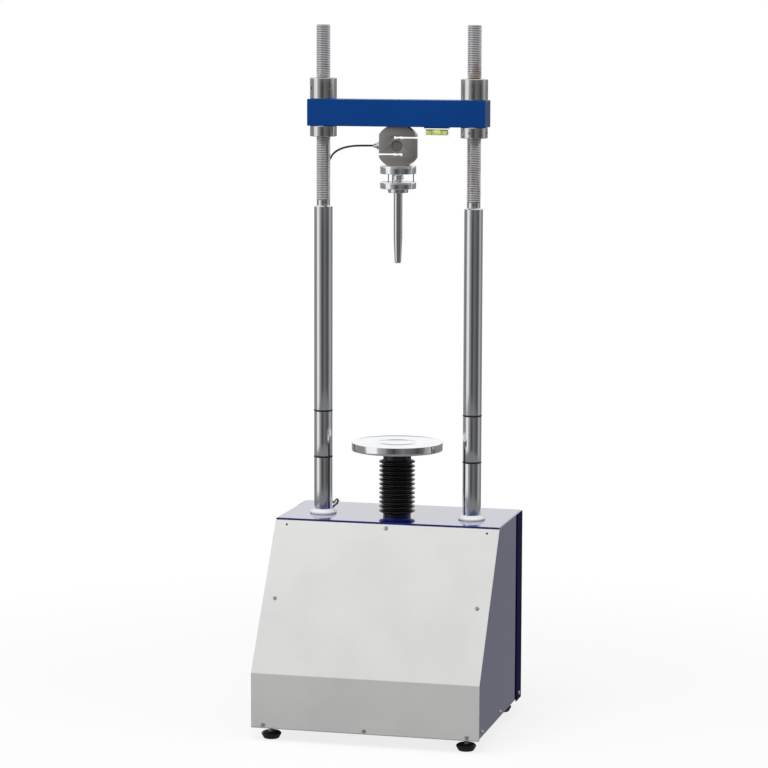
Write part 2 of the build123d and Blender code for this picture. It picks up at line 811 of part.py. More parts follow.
# Cable of the load cell: left out of the gland, down behind the left column, back along the cabinet's top,
# over its rear edge and down into the plug. Points are (x, y behind the columns, z above the cabinet).
cable_lie = cable_diameter / 2 + cable_rest_gap
plug_y = rear_y + plug_elbow_reach - column_y
cable_end = -cell_socket_drop + plug_elbow / 2 + plug_boot_length
cable_route = [
    (gland_x - gland_length, 0.0, cell_centre - base_z),
    (-64.0, 0.0, cell_centre - base_z),
    (-88.0, 7.0, 639.0),
    (-110.0, 19.0, 628.0),
    (-127.0, 29.0, 608.0),
    (-134.5, 33.5, 579.0),
    (-136.5, 35.0, 536.0),
    (-136.0, 35.5, 478.0),
    (-135.0, 36.5, 420.0),
    (-135.5, 36.0, 362.0),
    (-137.0, 36.5, 304.0),
    (-137.5, 38.0, 246.0),
    (-136.5, 39.0, 188.0),
    (-135.5, 41.5, 131.0),
    (-135.5, 43.0, 78.0),
    (-135.0, 46.0, 36.0),
    (-135.5, 55.0, 10.0),
    (-136.5, 73.0, cable_lie),
    (-139.0, 97.0, cable_lie + 1.5),
    (-140.5, 124.0, cable_lie + 3.0),
    (cable_x, plug_y - 1.0, -12.0),
    (cable_x, plug_y, -44.5),
    (cable_x, plug_y, cable_end),
]


def route_radii(points):
    """The largest radius at each corner that its two runs allow, and the runs' lengths and turns."""
    corners = [Vector(*p) for p in points]
    runs = [b - a for a, b in zip(corners, corners[1:])]
    radii = []
    for before, after in zip(runs, runs[1:]):
        turn = math.radians(before.get_angle(after))
        radii.append(0.45 * min(before.length, after.length) / math.tan(turn / 2))
    return radii, [run.length for run in runs]


cable_points = [(x, column_y + y, base_z + z) for x, y, z in cable_route]
cable_radii, cable_runs = route_radii(cable_points)
cable_start = Vector(*cable_points[1]) - Vector(*cable_points[0])
with BuildPart() as load_cell_cable:
    with BuildLine():
        cable_path = FilletPolyline(*cable_points, radius=cable_radii)
    with BuildSketch(Plane(cable_points[0], z_dir=cable_start)):
        Circle(cable_diameter / 2)
    sweep(path=cable_path)
keep(load_cell_cable, "load_cell_cable")
cable_length = cable_path.length
cable_volume = math.pi * (cable_diameter / 2) ** 2 * cable_length
print("cable radii", [round(r, 1) for r in cable_radii])
print("cable runs", [round(r, 1) for r in cable_runs])
print("cable length", round(cable_length, 1), "volume ratio", load_cell_cable.part.volume / cable_volume)

# Right-angle plug of the cable, on the socket at the rear
socket_z = base_z - cell_socket_drop
plug_face = rear_y + round_socket_reach
with BuildPart() as cell_plug:
    with BuildSketch(Plane((cable_x, plug_face, socket_z), (1, 0, 0), (0, 1, 0))):
        Circle(plug_diameter / 2)
    extrude(amount=plug_ring_length)
    with BuildSketch(Plane((cable_x, plug_face + plug_ring_length, socket_z), (1, 0, 0), (0, 1, 0))):
        RectangleRounded(plug_elbow, plug_elbow, plug_elbow / 4)
    extrude(amount=plug_elbow_reach - round_socket_reach - plug_ring_length + plug_elbow / 2)
    with BuildSketch(Plane((cable_x, rear_y + plug_elbow_reach, socket_z + plug_elbow / 2))):
        Circle(plug_boot_diameter / 2)
    extrude(amount=plug_boot_length, taper=plug_boot_taper)
keep(cell_plug, "cell_plug")

# Upper seat disc, screwed to the cell by a spigot, with a spherical seat under it
with BuildPart() as upper_seat_disc:
    with BuildSketch(at_height(upper_disc_bottom)):
        Circle(seat_disc_diameter / 2)
        with PolarLocations(seat_screw_radius, 3, start_angle=seat_screw_angle):
            Circle(seat_screw_diameter / 2, mode=Mode.SUBTRACT)
    extrude(amount=upper_disc_thickness)
    chamfer(upper_seat_disc.edges().filter_by(GeomType.CIRCLE).sort_by(SortBy.RADIUS)[-2:], nut_edge)
    with BuildSketch(at_height(cell_bottom)):
        Circle(cell_bolt_diameter / 2)
    extrude(amount=spigot_length)
    with Locations((0, column_y, ball_z)):
        Sphere(seat_ball_diameter / 2 + running_clearance, mode=Mode.SUBTRACT)
keep(upper_seat_disc, "upper_seat_disc")

# Ball between the two seats
with BuildPart() as seat_ball:
    with Locations((0, column_y, ball_z)):
        Sphere(seat_ball_diameter / 2)
keep(seat_ball, "seat_ball")

# Three long screws that hang the lower disc from the upper one, loose enough for tilts both ways at once
tilt_play = math.radians(seat_tilt) * math.sqrt(2)
screw_play = (seat_gap / 2 + lower_disc_thickness) * tilt_play + seat_slack
screw_drop = (seat_screw_radius + seat_screw_head / 2) * tilt_play + seat_slack
head_recess = seat_screw_head_height + 2 * screw_drop
head_top = lower_disc_bottom + head_recess - screw_drop
with BuildPart() as seat_screws:
    with BuildSketch(at_height(head_top)):
        with PolarLocations(seat_screw_radius, 3, start_angle=seat_screw_angle):
            Circle(seat_screw_diameter / 2)
    extrude(amount=cell_bottom - head_top)
    with BuildSketch(at_height(head_top - seat_screw_head_height)):
        with PolarLocations(seat_screw_radius, 3, start_angle=seat_screw_angle):
            Circle(seat_screw_head / 2)
    extrude(amount=seat_screw_head_height)
keep(seat_screws, "seat_screws")

# Lower seat disc, with its spherical seat, screw holes and a threaded hole for the ram
with BuildPart() as lower_seat_disc:
    with BuildSketch(at_height(lower_disc_bottom)):
        Circle(seat_disc_diameter / 2)
        with PolarLocations(seat_screw_radius, 3, start_angle=seat_screw_angle):
            Circle(seat_screw_diameter / 2 + screw_play, mode=Mode.SUBTRACT)
    extrude(amount=lower_disc_thickness)
    chamfer(lower_seat_disc.edges().filter_by(GeomType.CIRCLE).sort_by(SortBy.RADIUS)[-2:], nut_edge)
    with BuildSketch(at_height(lower_disc_bottom)):
        with PolarLocations(seat_screw_radius, 3, start_angle=seat_screw_angle):
            Circle(seat_screw_head / 2 + screw_play)
        Circle(cell_bolt_diameter / 2)
    extrude(amount=head_recess, mode=Mode.SUBTRACT)
    with Locations((0, column_y, ball_z)):
        Sphere(seat_ball_diameter / 2 + running_clearance, mode=Mode.SUBTRACT)
keep(lower_seat_disc, "lower_seat_disc")

# Ram: a flange under the lower disc, a round rod and a tapered, rounded tip
tip_z = ram_top - ram_length
with BuildPart() as loading_ram:
    with BuildSketch(Plane.XZ.offset(-column_y)):
        with BuildLine():
            Polyline(
                (0, tip_z),
                (ram_tip_diameter / 2, tip_z),
                (ram_diameter / 2, tip_z + ram_taper),
                (ram_diameter / 2, ram_top),
                (ram_flange_diameter / 2, ram_top),
                (ram_flange_diameter / 2, lower_disc_bottom),
                (cell_bolt_diameter / 2, lower_disc_bottom),
                (cell_bolt_diameter / 2, lower_disc_bottom + head_recess),
                (0, lower_disc_bottom + head_recess),
                close=True,
            )
        make_face()
    revolve(axis=Axis(axis_origin, (0, 0, 1)))
    fillet(loading_ram.edges().filter_by(GeomType.CIRCLE).sort_by(Axis.Z)[0], ram_tip_round)
    chamfer(loading_ram.edges().filter_by(GeomType.CIRCLE).sort_by(SortBy.RADIUS)[-2:], nut_edge)
keep(loading_ram, "loading_ram")

# Bubble level under the crosshead: a painted plate, a clear block and the vial in it
level_y = column_y - level_forward
block_top = crosshead_z - level_plate_thickness
vial_z = block_top - level_block_height / 2
with BuildPart() as level_plate:
    with BuildSketch(at_height(block_top, level_centre, level_y)):
        Rectangle(level_length, level_block_depth)
    extrude(amount=level_plate_thickness)
keep(level_plate, "level_plate")

vial_bore = Plane((level_centre - vial_length / 2, level_y, vial_z), (0, 1, 0), (1, 0, 0))
with BuildPart() as level_block:
    with BuildSketch(at_height(block_top - level_block_height, level_centre, level_y)):
        RectangleRounded(level_length, level_block_depth, level_block_round)
    extrude(amount=level_block_height)
    with BuildSketch(vial_bore):
        Circle(vial_diameter / 2)
    extrude(amount=vial_length, mode=Mode.SUBTRACT)
keep(level_block, "level_block")

with BuildPart() as level_vial:
    with BuildSketch(vial_bore):
        Circle(vial_diameter / 2)
    extrude(amount=vial_length)
keep(level_vial, "level_vial")

# Platen with a locating groove, and a spigot under it that takes the bellows
with BuildPart() as platen:
    with BuildSketch(at_height(platen_bottom)):
        Circle(platen_diameter / 2)
    extrude(amount=platen_thickness)
    chamfer(platen.edges().filter_by(GeomType.CIRCLE), platen_edge)
    with BuildSketch(at_height(platen_bottom + platen_thickness)):
        Circle(platen_groove_outer / 2)
        Circle(platen_groove_inner / 2, mode=Mode.SUBTRACT)
    extrude(amount=-platen_groove_depth, mode=Mode.SUBTRACT)
    with BuildSketch(at_height(platen_bottom)):
        Circle(platen_spigot_diameter / 2)
    extrude(amount=-platen_spigot_height)
    with BuildSketch(at_height(platen_bottom - platen_spigot_height)):
        Circle(screw_diameter / 2)
    extrude(amount=platen_spigot_height, mode=Mode.SUBTRACT)
    with BuildSketch(at_height(platen_bottom)):
        Circle(screw_stud_diameter / 2)
    extrude(amount=screw_stud_length, mode=Mode.SUBTRACT)
keep(platen, "platen")

# Lead screw, with a stud into the platen and its tail held by the guide arm
screw_bottom = base_z - screw_tail
with BuildPart() as lead_screw:
    with BuildSketch(at_height(screw_bottom)):
        Circle(screw_diameter / 2)
    extrude(amount=platen_bottom - screw_bottom)
    chamfer(lead_screw.edges().filter_by(GeomType.CIRCLE).sort_by(Axis.Z)[0], nut_edge)
    with BuildSketch(at_height(platen_bottom)):
        Circle(screw_stud_diameter / 2)
    extrude(amount=screw_stud_length)
keep(lead_screw, "lead_screw")

# Bellows: a cuff on the bush's collar, even folds, and a cuff on the platen's spigot
bottom_cuff = platen_gap - top_cuff - bellows_folds * bellows_pitch
root_r = bellows_root / 2
crest_r = bellows_crest / 2
fold_z = base_z + bottom_cuff
outer_folds = [(root_r, base_z), (root_r, fold_z)]
inner_folds = [(root_r - bellows_wall, base_z), (root_r - bellows_wall, fold_z)]
for fold in range(bellows_folds):
    middle = fold_z + (fold + 0.5) * bellows_pitch
    upper = fold_z + (fold + 1) * bellows_pitch
    outer_folds += [(crest_r, middle), (root_r, upper)]
    inner_folds += [(crest_r - bellows_wall, middle), (root_r - bellows_wall, upper)]
outer_folds.append((root_r, platen_bottom))
inner_folds.append((root_r - bellows_wall, platen_bottom))
with BuildPart() as bellows:
    with BuildSketch(Plane.XZ.offset(-column_y)):
        with BuildLine():
            Polyline(*outer_folds, *reversed(inner_folds), close=True)
        make_face()
    revolve(axis=Axis(axis_origin, (0, 0, 1)))
keep(bellows, "bellows")

# Bronze bush that guides the lead screw through the top plate, with a collar for the bellows
screw_bore = screw_diameter / 2 + running_clearance
with BuildPart() as screw_bush:
    with BuildSketch(at_height(plate_bottom)):
        Circle(bush_body_diameter / 2)
    extrude(amount=plate_thickness)
    with BuildSketch(at_height(plate_top - bush_flange_thickness)):
        Circle(bush_flange_diameter / 2)
    extrude(amount=bush_flange_thickness)
    with BuildSketch(at_height(plate_top)):
        Circle(bush_collar_diameter / 2)
    extrude(amount=sheet + bush_collar_height)
    with BuildSketch(at_height(plate_bottom)):
        Circle(screw_bore)
    extrude(amount=plate_thickness + sheet + bush_collar_height, mode=Mode.SUBTRACT)
keep(screw_bush, "screw_bush")

# Jack housing under the top plate, bored for the two bearings of the drive nut
upper_bearing_z = plate_bottom - bearing_width - bearing_ring_gap
lower_bearing_z = upper_bearing_z - bearing_spacing
housing_bottom = lower_bearing_z - bearing_ring_gap
with BuildPart() as jack_housing:
    with BuildSketch(at_height(plate_bottom)):
        Circle(jack_flange_diameter / 2)
        with PolarLocations(jack_screw_circle / 2, 4, start_angle=45):
            Circle(jack_screw_diameter / 2, mode=Mode.SUBTRACT)
    extrude(amount=-jack_flange_thickness)
    with BuildSketch(at_height(plate_bottom)):
        Circle(jack_body_diameter / 2)
    extrude(amount=housing_bottom - plate_bottom)
    with BuildSketch(at_height(plate_bottom)):
        Circle(jack_shoulder_diameter / 2)
    extrude(amount=housing_bottom - plate_bottom, mode=Mode.SUBTRACT)
    with BuildSketch(at_height(upper_bearing_z)):
        Circle(bearing_outer_diameter / 2)
    extrude(amount=plate_bottom - upper_bearing_z, mode=Mode.SUBTRACT)
    with BuildSketch(at_height(housing_bottom)):
        Circle(bearing_outer_diameter / 2)
    extrude(amount=lower_bearing_z + bearing_width - housing_bottom, mode=Mode.SUBTRACT)
keep(jack_housing, "jack_housing")

# Screws that hold the housing up to the top plate
jack_head_z = plate_bottom - jack_flange_thickness - jack_screw_diameter
with BuildPart() as jack_screws:
    with BuildSketch(at_height(jack_head_z)):
        with PolarLocations(jack_screw_circle / 2, 4, start_angle=45):
            Circle(jack_screw_head / 2)
    extrude(amount=jack_screw_diameter)
    with BuildSketch(at_height(jack_head_z)):
        with PolarLocations(jack_screw_circle / 2, 4, start_angle=45):
            Circle(jack_screw_diameter / 2)
    extrude(amount=plate_top - jack_head_z)
keep(jack_screws, "jack_screws")

# Bearings: sealed outer rings in the housing, inner rings on the drive nut
ring_split = bearing_inner_diameter / 2 + bearing_inner_wall
with BuildPart() as bearing_outer:
    for z in (upper_bearing_z, lower_bearing_z):
        with BuildSketch(at_height(z)):
            Circle(bearing_outer_diameter / 2)
            Circle(ring_split + bearing_ring_gap, mode=Mode.SUBTRACT)
        extrude(amount=bearing_width)
keep(bearing_outer, "bearing_outer")

with BuildPart() as bearing_inner:
    for z in (upper_bearing_z, lower_bearing_z):
        with BuildSketch(at_height(z)):
            Circle(ring_split)
            Circle(bearing_inner_diameter / 2, mode=Mode.SUBTRACT)
        extrude(amount=bearing_width)
keep(bearing_inner, "bearing_inner")

# Drive nut: it turns on the bearings and lifts the lead screw
pulley_top = housing_bottom - pulley_gap
pulley_bottom = pulley_top - pulley_width
with BuildPart() as drive_nut:
    with BuildSketch(at_height(pulley_bottom)):
        Circle(drive_nut_tail / 2)
    extrude(amount=lower_bearing_z - pulley_bottom)
    with BuildSketch(at_height(lower_bearing_z)):
        Circle(bearing_inner_diameter / 2)
    extrude(amount=upper_bearing_z + bearing_width - lower_bearing_z)
    with BuildSketch(at_height(lower_bearing_z + bearing_width)):
        Circle(drive_nut_shoulder / 2)
    extrude(amount=upper_bearing_z - lower_bearing_z - bearing_width)
    with BuildSketch(at_height(pulley_bottom)):
        Circle(screw_bore)
    extrude(amount=plate_bottom - pulley_bottom, mode=Mode.SUBTRACT)
keep(drive_nut, "drive_nut")


def toothed_pulley(x, teeth, bore):
    """A toothed belt pulley with a rim at each side of its face."""
    tip = teeth * belt_pitch / math.pi / 2
    root = tip - tooth_depth
    step = math.radians(360 / teeth)
    outline = []
    for tooth in range(teeth):
        start = tooth * step
        for share, rise in tooth_outline:
            turn = start + share * step
            radius = root + rise * tooth_depth
            outline.append((radius * math.cos(turn), radius * math.sin(turn)))
    rim = (pulley_width - pulley_face) / 2
    with BuildPart() as pulley:
        with BuildSketch(at_height(pulley_bottom + rim, x)):
            with BuildLine():
                Polyline(*outline, close=True)
            make_face()
        extrude(amount=pulley_face)
        for z in (pulley_bottom, pulley_top - rim):
            with BuildSketch(at_height(z, x)):
                Circle(tip + belt_thickness + pulley_rim_rise)
            extrude(amount=rim)
        with BuildSketch(at_height(pulley_bottom, x)):
            Circle(bore / 2)
        extrude(amount=pulley_width, mode=Mode.SUBTRACT)
    return pulley


# Toothed pulley on the drive nut
keep(toothed_pulley(0, nut_pulley_teeth, drive_nut_tail), "nut_pulley")

# Toothed pulley on the gear motor's shaft, and the shaft
bracket_top = pulley_bottom - bracket_gap
bracket_bottom = bracket_top - bracket_sheet
shaft_bottom = bracket_bottom - motor_shaft_engagement
small_pulley = toothed_pulley(motor_offset, motor_pulley_teeth, motor_shaft_diameter)
with BuildPart() as motor_shaft:
    with BuildSketch(at_height(shaft_bottom, motor_offset)):
        Circle(motor_shaft_diameter / 2)
    extrude(amount=pulley_top - shaft_bottom)
motor_drive = Compound(label="motor_pulley", children=[small_pulley.part, motor_shaft.part])
export_step(motor_drive, "parts/motor_pulley.step")

# Toothed belt as a plain loop round both pulleys; its inside clears the teeth
big_r = nut_pulley_teeth * belt_pitch / math.pi / 2 + belt_clearance
small_r = motor_pulley_teeth * belt_pitch / math.pi / 2 + belt_clearance
wrap_angle = math.acos((big_r - small_r) / motor_offset)
belt_z = (pulley_top + pulley_bottom - belt_width) / 2


def belt_corners(grow):
    """The four points where the belt leaves and meets the pulleys, moved outwards by a distance."""
    cosine = math.cos(wrap_angle)
    sine = math.sin(wrap_angle)
    big = big_r + grow
    small = small_r + grow
    top_big = (big * cosine, big * sine)
    top_small = (motor_offset + small * cosine, small * sine)
    low_small = (motor_offset + small * cosine, -small * sine)
    low_big = (big * cosine, -big * sine)
    return top_big, top_small, low_small, low_big


with BuildPart() as drive_belt:
    with BuildSketch(at_height(belt_z)):
        for grow, mode in ((belt_thickness, Mode.ADD), (0, Mode.SUBTRACT)):
            top_big, top_small, low_small, low_big = belt_corners(grow)
            with BuildLine():
                Line(top_big, top_small)
                ThreePointArc(top_small, (motor_offset + small_r + grow, 0), low_small)
                Line(low_small, low_big)
                ThreePointArc(low_big, (-big_r - grow, 0), top_big)
            make_face(mode=mode)
    extrude(amount=belt_width)
keep(drive_belt, "drive_belt")

# Motor bracket: two webs down from the top plate and a shelf under the pulleys
with BuildPart() as motor_bracket:
    with BuildSketch(at_height(bracket_bottom, motor_offset)):
        Rectangle(bracket_length, bracket_width)
        Circle(pilot_diameter / 2, mode=Mode.SUBTRACT)
    extrude(amount=bracket_sheet)
    for side in (-1, 1):
        web_y = column_y + side * (bracket_width - bracket_sheet) / 2
        with BuildSketch(at_height(bracket_bottom, motor_offset, web_y)):
            Rectangle(bracket_length, bracket_sheet)
        extrude(amount=plate_bottom - bracket_bottom)
keep(motor_bracket, "motor_bracket")

# Gearbox under the shelf, bored for its shaft
with BuildPart() as gearbox:
    with BuildSketch(at_height(bracket_bottom, motor_offset)):
        RectangleRounded(gearbox_size, gearbox_size, gearbox_corner)
    extrude(amount=-gearbox_height)
    with BuildSketch(at_height(bracket_bottom, motor_offset)):
        Circle(pilot_diameter / 2)
    extrude(amount=bracket_sheet)
    with BuildSketch(at_height(shaft_bottom, motor_offset)):
        Circle(motor_shaft_diameter / 2 + running_clearance)
    extrude(amount=bracket_top - shaft_bottom, mode=Mode.SUBTRACT)
keep(gearbox, "gearbox")

# Stepper motor: end caps with cut corners round a laminated body
stepper_top = bracket_bottom - gearbox_height
with BuildPart() as stepper_motor:
    with BuildSketch(at_height(stepper_top, motor_offset)):
        RectangleRounded(stepper_width, stepper_width, stepper_corner)
    extrude(amount=-stepper_height)
    with BuildSketch(at_height(stepper_top - stepper_cap, motor_offset)):
        with GridLocations(stepper_width, stepper_width, 2, 2):
            Rectangle(stepper_corner_cut, stepper_corner_cut, rotation=45)
    extrude(amount=2 * stepper_cap - stepper_height, mode=Mode.SUBTRACT)
keep(stepper_motor, "stepper_motor")

# Guide rod from the top plate down to the tray
with BuildPart() as guide_rod:
    with BuildSketch(at_height(tray_floor, -guide_offset)):
        Circle(guide_rod_diameter / 2)
    extrude(amount=plate_bottom - tray_floor)
keep(guide_rod, "guide_rod")

# Guide arm: clamped on the screw's tail, its eye slides on the guide rod
arm_bottom = screw_bottom + guide_arm_lift
with BuildPart() as guide_arm:
    with BuildSketch(at_height(arm_bottom)):
        with BuildLine():
            Polyline(
                (0, guide_arm_boss / 2),
                (0, -guide_arm_boss / 2),
                (-guide_offset, -guide_arm_eye / 2),
                (-guide_offset, guide_arm_eye / 2),
                close=True,
            )
        make_face()
        Circle(guide_arm_boss / 2)
        with Locations((-guide_offset, 0)):
            Circle(guide_arm_eye / 2)
            Circle(guide_rod_diameter / 2 + running_clearance, mode=Mode.SUBTRACT)
        Circle(screw_diameter / 2, mode=Mode.SUBTRACT)
        with Locations(((screw_diameter + guide_arm_boss) / 4, 0)):
            Rectangle(guide_arm_boss / 2, clamp_slot_width, mode=Mode.SUBTRACT)
    extrude(amount=guide_arm_thickness)
keep(guide_arm, "guide_arm")

# Limit switches on collars, one above and one below the guide arm's travel
upper_switch_z = arm_bottom + guide_arm_thickness + travel_up + switch_gap
lower_switch_z = arm_bottom - travel_down - switch_gap - switch_collar_height
with BuildPart() as limit_switches:
    for z in (upper_switch_z, lower_switch_z):
        with BuildSketch(at_height(z, -guide_offset)):
            Circle(switch_collar / 2)
            with Locations((switch_lap - (switch_collar + switch_width) / 2, 0)):
                Rectangle(switch_width, switch_length)
            Circle(guide_rod_diameter / 2, mode=Mode.SUBTRACT)
        extrude(amount=switch_collar_height)
keep(limit_switches, "limit_switches")

# Power inlet and switch housing at the rear: a recess with three pins, and a pocket for the rocker
inlet_z = foot_height + inlet_rise
recess_z = inlet_z - inlet_height / 4
rocker_z = inlet_z + inlet_height / 4
outer_face = rear_y + inlet_flange
with BuildPart() as power_inlet:
    with BuildSketch(Plane((inlet_offset, rear_y, inlet_z), (1, 0, 0), (0, 1, 0))):
        RectangleRounded(inlet_width, inlet_height, inlet_corner)
    extrude(amount=inlet_flange)
    with BuildSketch(Plane((inlet_offset, rear_y, inlet_z), (1, 0, 0), (0, 1, 0))):
        Rectangle(inlet_width - 2 * inlet_rim, inlet_height - 2 * inlet_rim)
    extrude(amount=-inlet_depth)
    with BuildSketch(Plane((inlet_offset, outer_face, recess_z), (1, 0, 0), (0, 1, 0))):
        Rectangle(socket_recess_width, socket_recess_height)
    extrude(amount=-socket_recess_depth, mode=Mode.SUBTRACT)
    with BuildSketch(Plane((inlet_offset, outer_face - socket_recess_depth, recess_z), (1, 0, 0), (0, 1, 0))):
        with Locations((-pin_spread, pin_stagger), (0, -pin_stagger), (pin_spread, pin_stagger)):
            Rectangle(pin_width, pin_height)
    extrude(amount=pin_length)
    with BuildSketch(Plane((inlet_offset, outer_face, rocker_z), (1, 0, 0), (0, 1, 0))):
        Rectangle(rocker_width + 2 * rocker_clearance, rocker_height + 2 * rocker_swing_room)
    extrude(amount=-rocker_depth - inlet_flange, mode=Mode.SUBTRACT)
keep(power_inlet, "power_inlet")

# Rocker of the power switch: a flat vee that turns about the inlet's own face, resting at off
rocker_pivot = (inlet_offset, outer_face - rocker_pivot_depth, rocker_z)
heel_y = rocker_pivot[1] - rocker_heel_depth
nose_y = rocker_pivot[1] + rocker_nose_reach
nose_rise = rocker_height / 2 - rocker_clearance
with BuildPart() as power_switch:
    with BuildSketch(Plane((inlet_offset, 0, 0), (0, 1, 0), (1, 0, 0))):
        with BuildLine():
            Polyline(
                (heel_y, rocker_z - rocker_heel_height / 2),
                (heel_y, rocker_z + rocker_heel_height / 2),
                (nose_y - rocker_edge_thickness, rocker_z + nose_rise),
                (nose_y, rocker_z + nose_rise),
                (rocker_pivot[1] + rocker_middle_reach, rocker_z),
                (nose_y, rocker_z - nose_rise),
                (nose_y - rocker_edge_thickness, rocker_z - nose_rise),
                close=True,
            )
        make_face()
    extrude(amount=rocker_width / 2, both=True)
power_switch.part = power_switch.part.rotate(Axis(rocker_pivot, (1, 0, 0)), -rocker_tilt)
keep(power_switch, "power_switch")

# Round socket for the load cell
with BuildPart() as cell_socket:
    with BuildSketch(Plane((cable_x, rear_y, socket_z), (1, 0, 0), (0, 1, 0))):
        Circle(round_socket_rim / 2)
    extrude(amount=round_socket_flange)
    with BuildSketch(Plane((cable_x, rear_y - round_socket_depth, socket_z), (1, 0, 0), (0, 1, 0))):
        Circle(round_socket_diameter / 2)
    extrude(amount=round_socket_depth + round_socket_reach)
keep(cell_socket, "cell_socket")

# Data socket: a metal shell round an insulator, with a flange
with BuildPart() as data_socket:
    with BuildSketch(Plane((data_socket_offset, rear_y, inlet_z), (1, 0, 0), (0, 1, 0))):
        RectangleRounded(data_socket_width, data_socket_height, data_socket_corner)
    extrude(amount=data_socket_flange)
    with BuildSketch(Plane((data_socket_offset, rear_y - data_body_depth, inlet_z), (1, 0, 0), (0, 1, 0))):
        Rectangle(data_body_width, data_body_height)
    extrude(amount=data_body_depth)
    with BuildSketch(Plane((data_socket_offset, rear_y, inlet_z), (1, 0, 0), (0, 1, 0))):
        Trapezoid(data_shell_width, data_shell_height, data_shell_slant, align=(Align.CENTER, Align.CENTER))
    extrude(amount=data_shell_reach)
keep(data_socket, "data_socket")

# Control board on standoffs, with its larger components
board_y = front_y + board_setback
board_z = tray_floor + board_standoff
with BuildPart() as control_board:
    with BuildSketch(at_height(board_z, board_x, board_y)):
        Rectangle(board_length, board_width)
    extrude(amount=board_thickness)
    with BuildSketch(at_height(tray_floor, board_x, board_y)):
        with GridLocations(board_length - 2 * standoff_inset, board_width - 2 * standoff_inset, 2, 2):
            Circle(standoff_diameter / 2)
    extrude(amount=board_standoff)
    with BuildSketch(at_height(board_z + board_thickness, board_x, board_y)):
        with Locations(relay_place):
            Rectangle(*relay_size)
        with Locations(driver_place):
            Rectangle(driver_size, driver_size)
        with Locations(*capacitor_places):
            Circle(capacitor_diameter / 2)
    extrude(amount=component_height)
keep(control_board, "control_board")

# Power supply in its vented case, standing on the tray
supply_y = front_y + board_setback
with BuildPart() as power_supply:
    with BuildSketch(at_height(tray_floor, supply_x, supply_y)):
        Rectangle(supply_length, supply_width)
    extrude(amount=supply_height)
    with BuildSketch(at_height(tray_floor + supply_height, supply_x, supply_y)):
        with GridLocations(0, supply_slot_pitch, 1, supply_slots):
            SlotOverall(supply_slot_length, supply_slot_width)
    extrude(amount=-supply_slot_depth, mode=Mode.SUBTRACT)
keep(power_supply, "power_supply")

print("column plane y", round(column_y, 3), "cabinet top z", base_z, "rear y", round(rear_y, 3))
print("ball z", ball_z, "cell centre z", cell_centre, "ram tip z", tip_z, "screw bottom z", screw_bottom)
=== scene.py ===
"""Looks of the triaxial load frame: finishes, threads, bellows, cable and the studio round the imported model."""

import json
import logging
import math
from dataclasses import dataclass, field
from enum import Enum
from typing import Sequence, Union

import bmesh
import bpy
import numpy as np
from mathutils import Matrix, Vector
from mathutils.geometry import tessellate_polygon

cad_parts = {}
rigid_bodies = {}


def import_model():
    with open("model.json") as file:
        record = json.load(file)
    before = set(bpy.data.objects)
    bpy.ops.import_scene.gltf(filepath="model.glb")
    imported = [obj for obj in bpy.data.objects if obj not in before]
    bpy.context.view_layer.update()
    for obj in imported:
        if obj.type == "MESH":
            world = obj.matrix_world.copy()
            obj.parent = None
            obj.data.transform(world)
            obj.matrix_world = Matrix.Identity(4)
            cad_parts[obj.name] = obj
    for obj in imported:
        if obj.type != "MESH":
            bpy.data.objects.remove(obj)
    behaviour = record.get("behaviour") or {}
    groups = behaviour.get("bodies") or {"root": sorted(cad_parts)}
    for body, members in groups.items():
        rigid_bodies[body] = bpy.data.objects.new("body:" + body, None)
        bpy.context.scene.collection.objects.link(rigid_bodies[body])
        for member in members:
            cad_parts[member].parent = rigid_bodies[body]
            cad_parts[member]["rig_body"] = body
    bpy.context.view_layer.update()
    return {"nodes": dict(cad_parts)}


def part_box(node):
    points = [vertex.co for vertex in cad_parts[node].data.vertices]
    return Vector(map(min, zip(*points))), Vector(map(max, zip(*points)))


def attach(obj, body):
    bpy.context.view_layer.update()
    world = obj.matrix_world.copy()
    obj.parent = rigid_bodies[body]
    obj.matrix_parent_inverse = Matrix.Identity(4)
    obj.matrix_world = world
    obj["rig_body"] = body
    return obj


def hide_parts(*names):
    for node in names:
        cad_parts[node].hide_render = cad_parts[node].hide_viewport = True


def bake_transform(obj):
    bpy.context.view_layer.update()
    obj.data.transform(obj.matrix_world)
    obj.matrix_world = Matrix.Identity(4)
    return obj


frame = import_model()

LOG = logging.getLogger("load_frame")
MM = 0.001
TAU = 2 * math.pi

Number = Union[int, float]
Corner = tuple[float, float, float]


class Body(str, Enum):
    """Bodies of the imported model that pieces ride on."""

    ROOT = "root"
    CROSSHEAD = "crosshead"
    PLATEN = "platen"


class Axis(Enum):
    """Direction that a brushed or turned finish runs round or along."""

    X = 0
    Y = 1
    Z = 2


# Shader maths


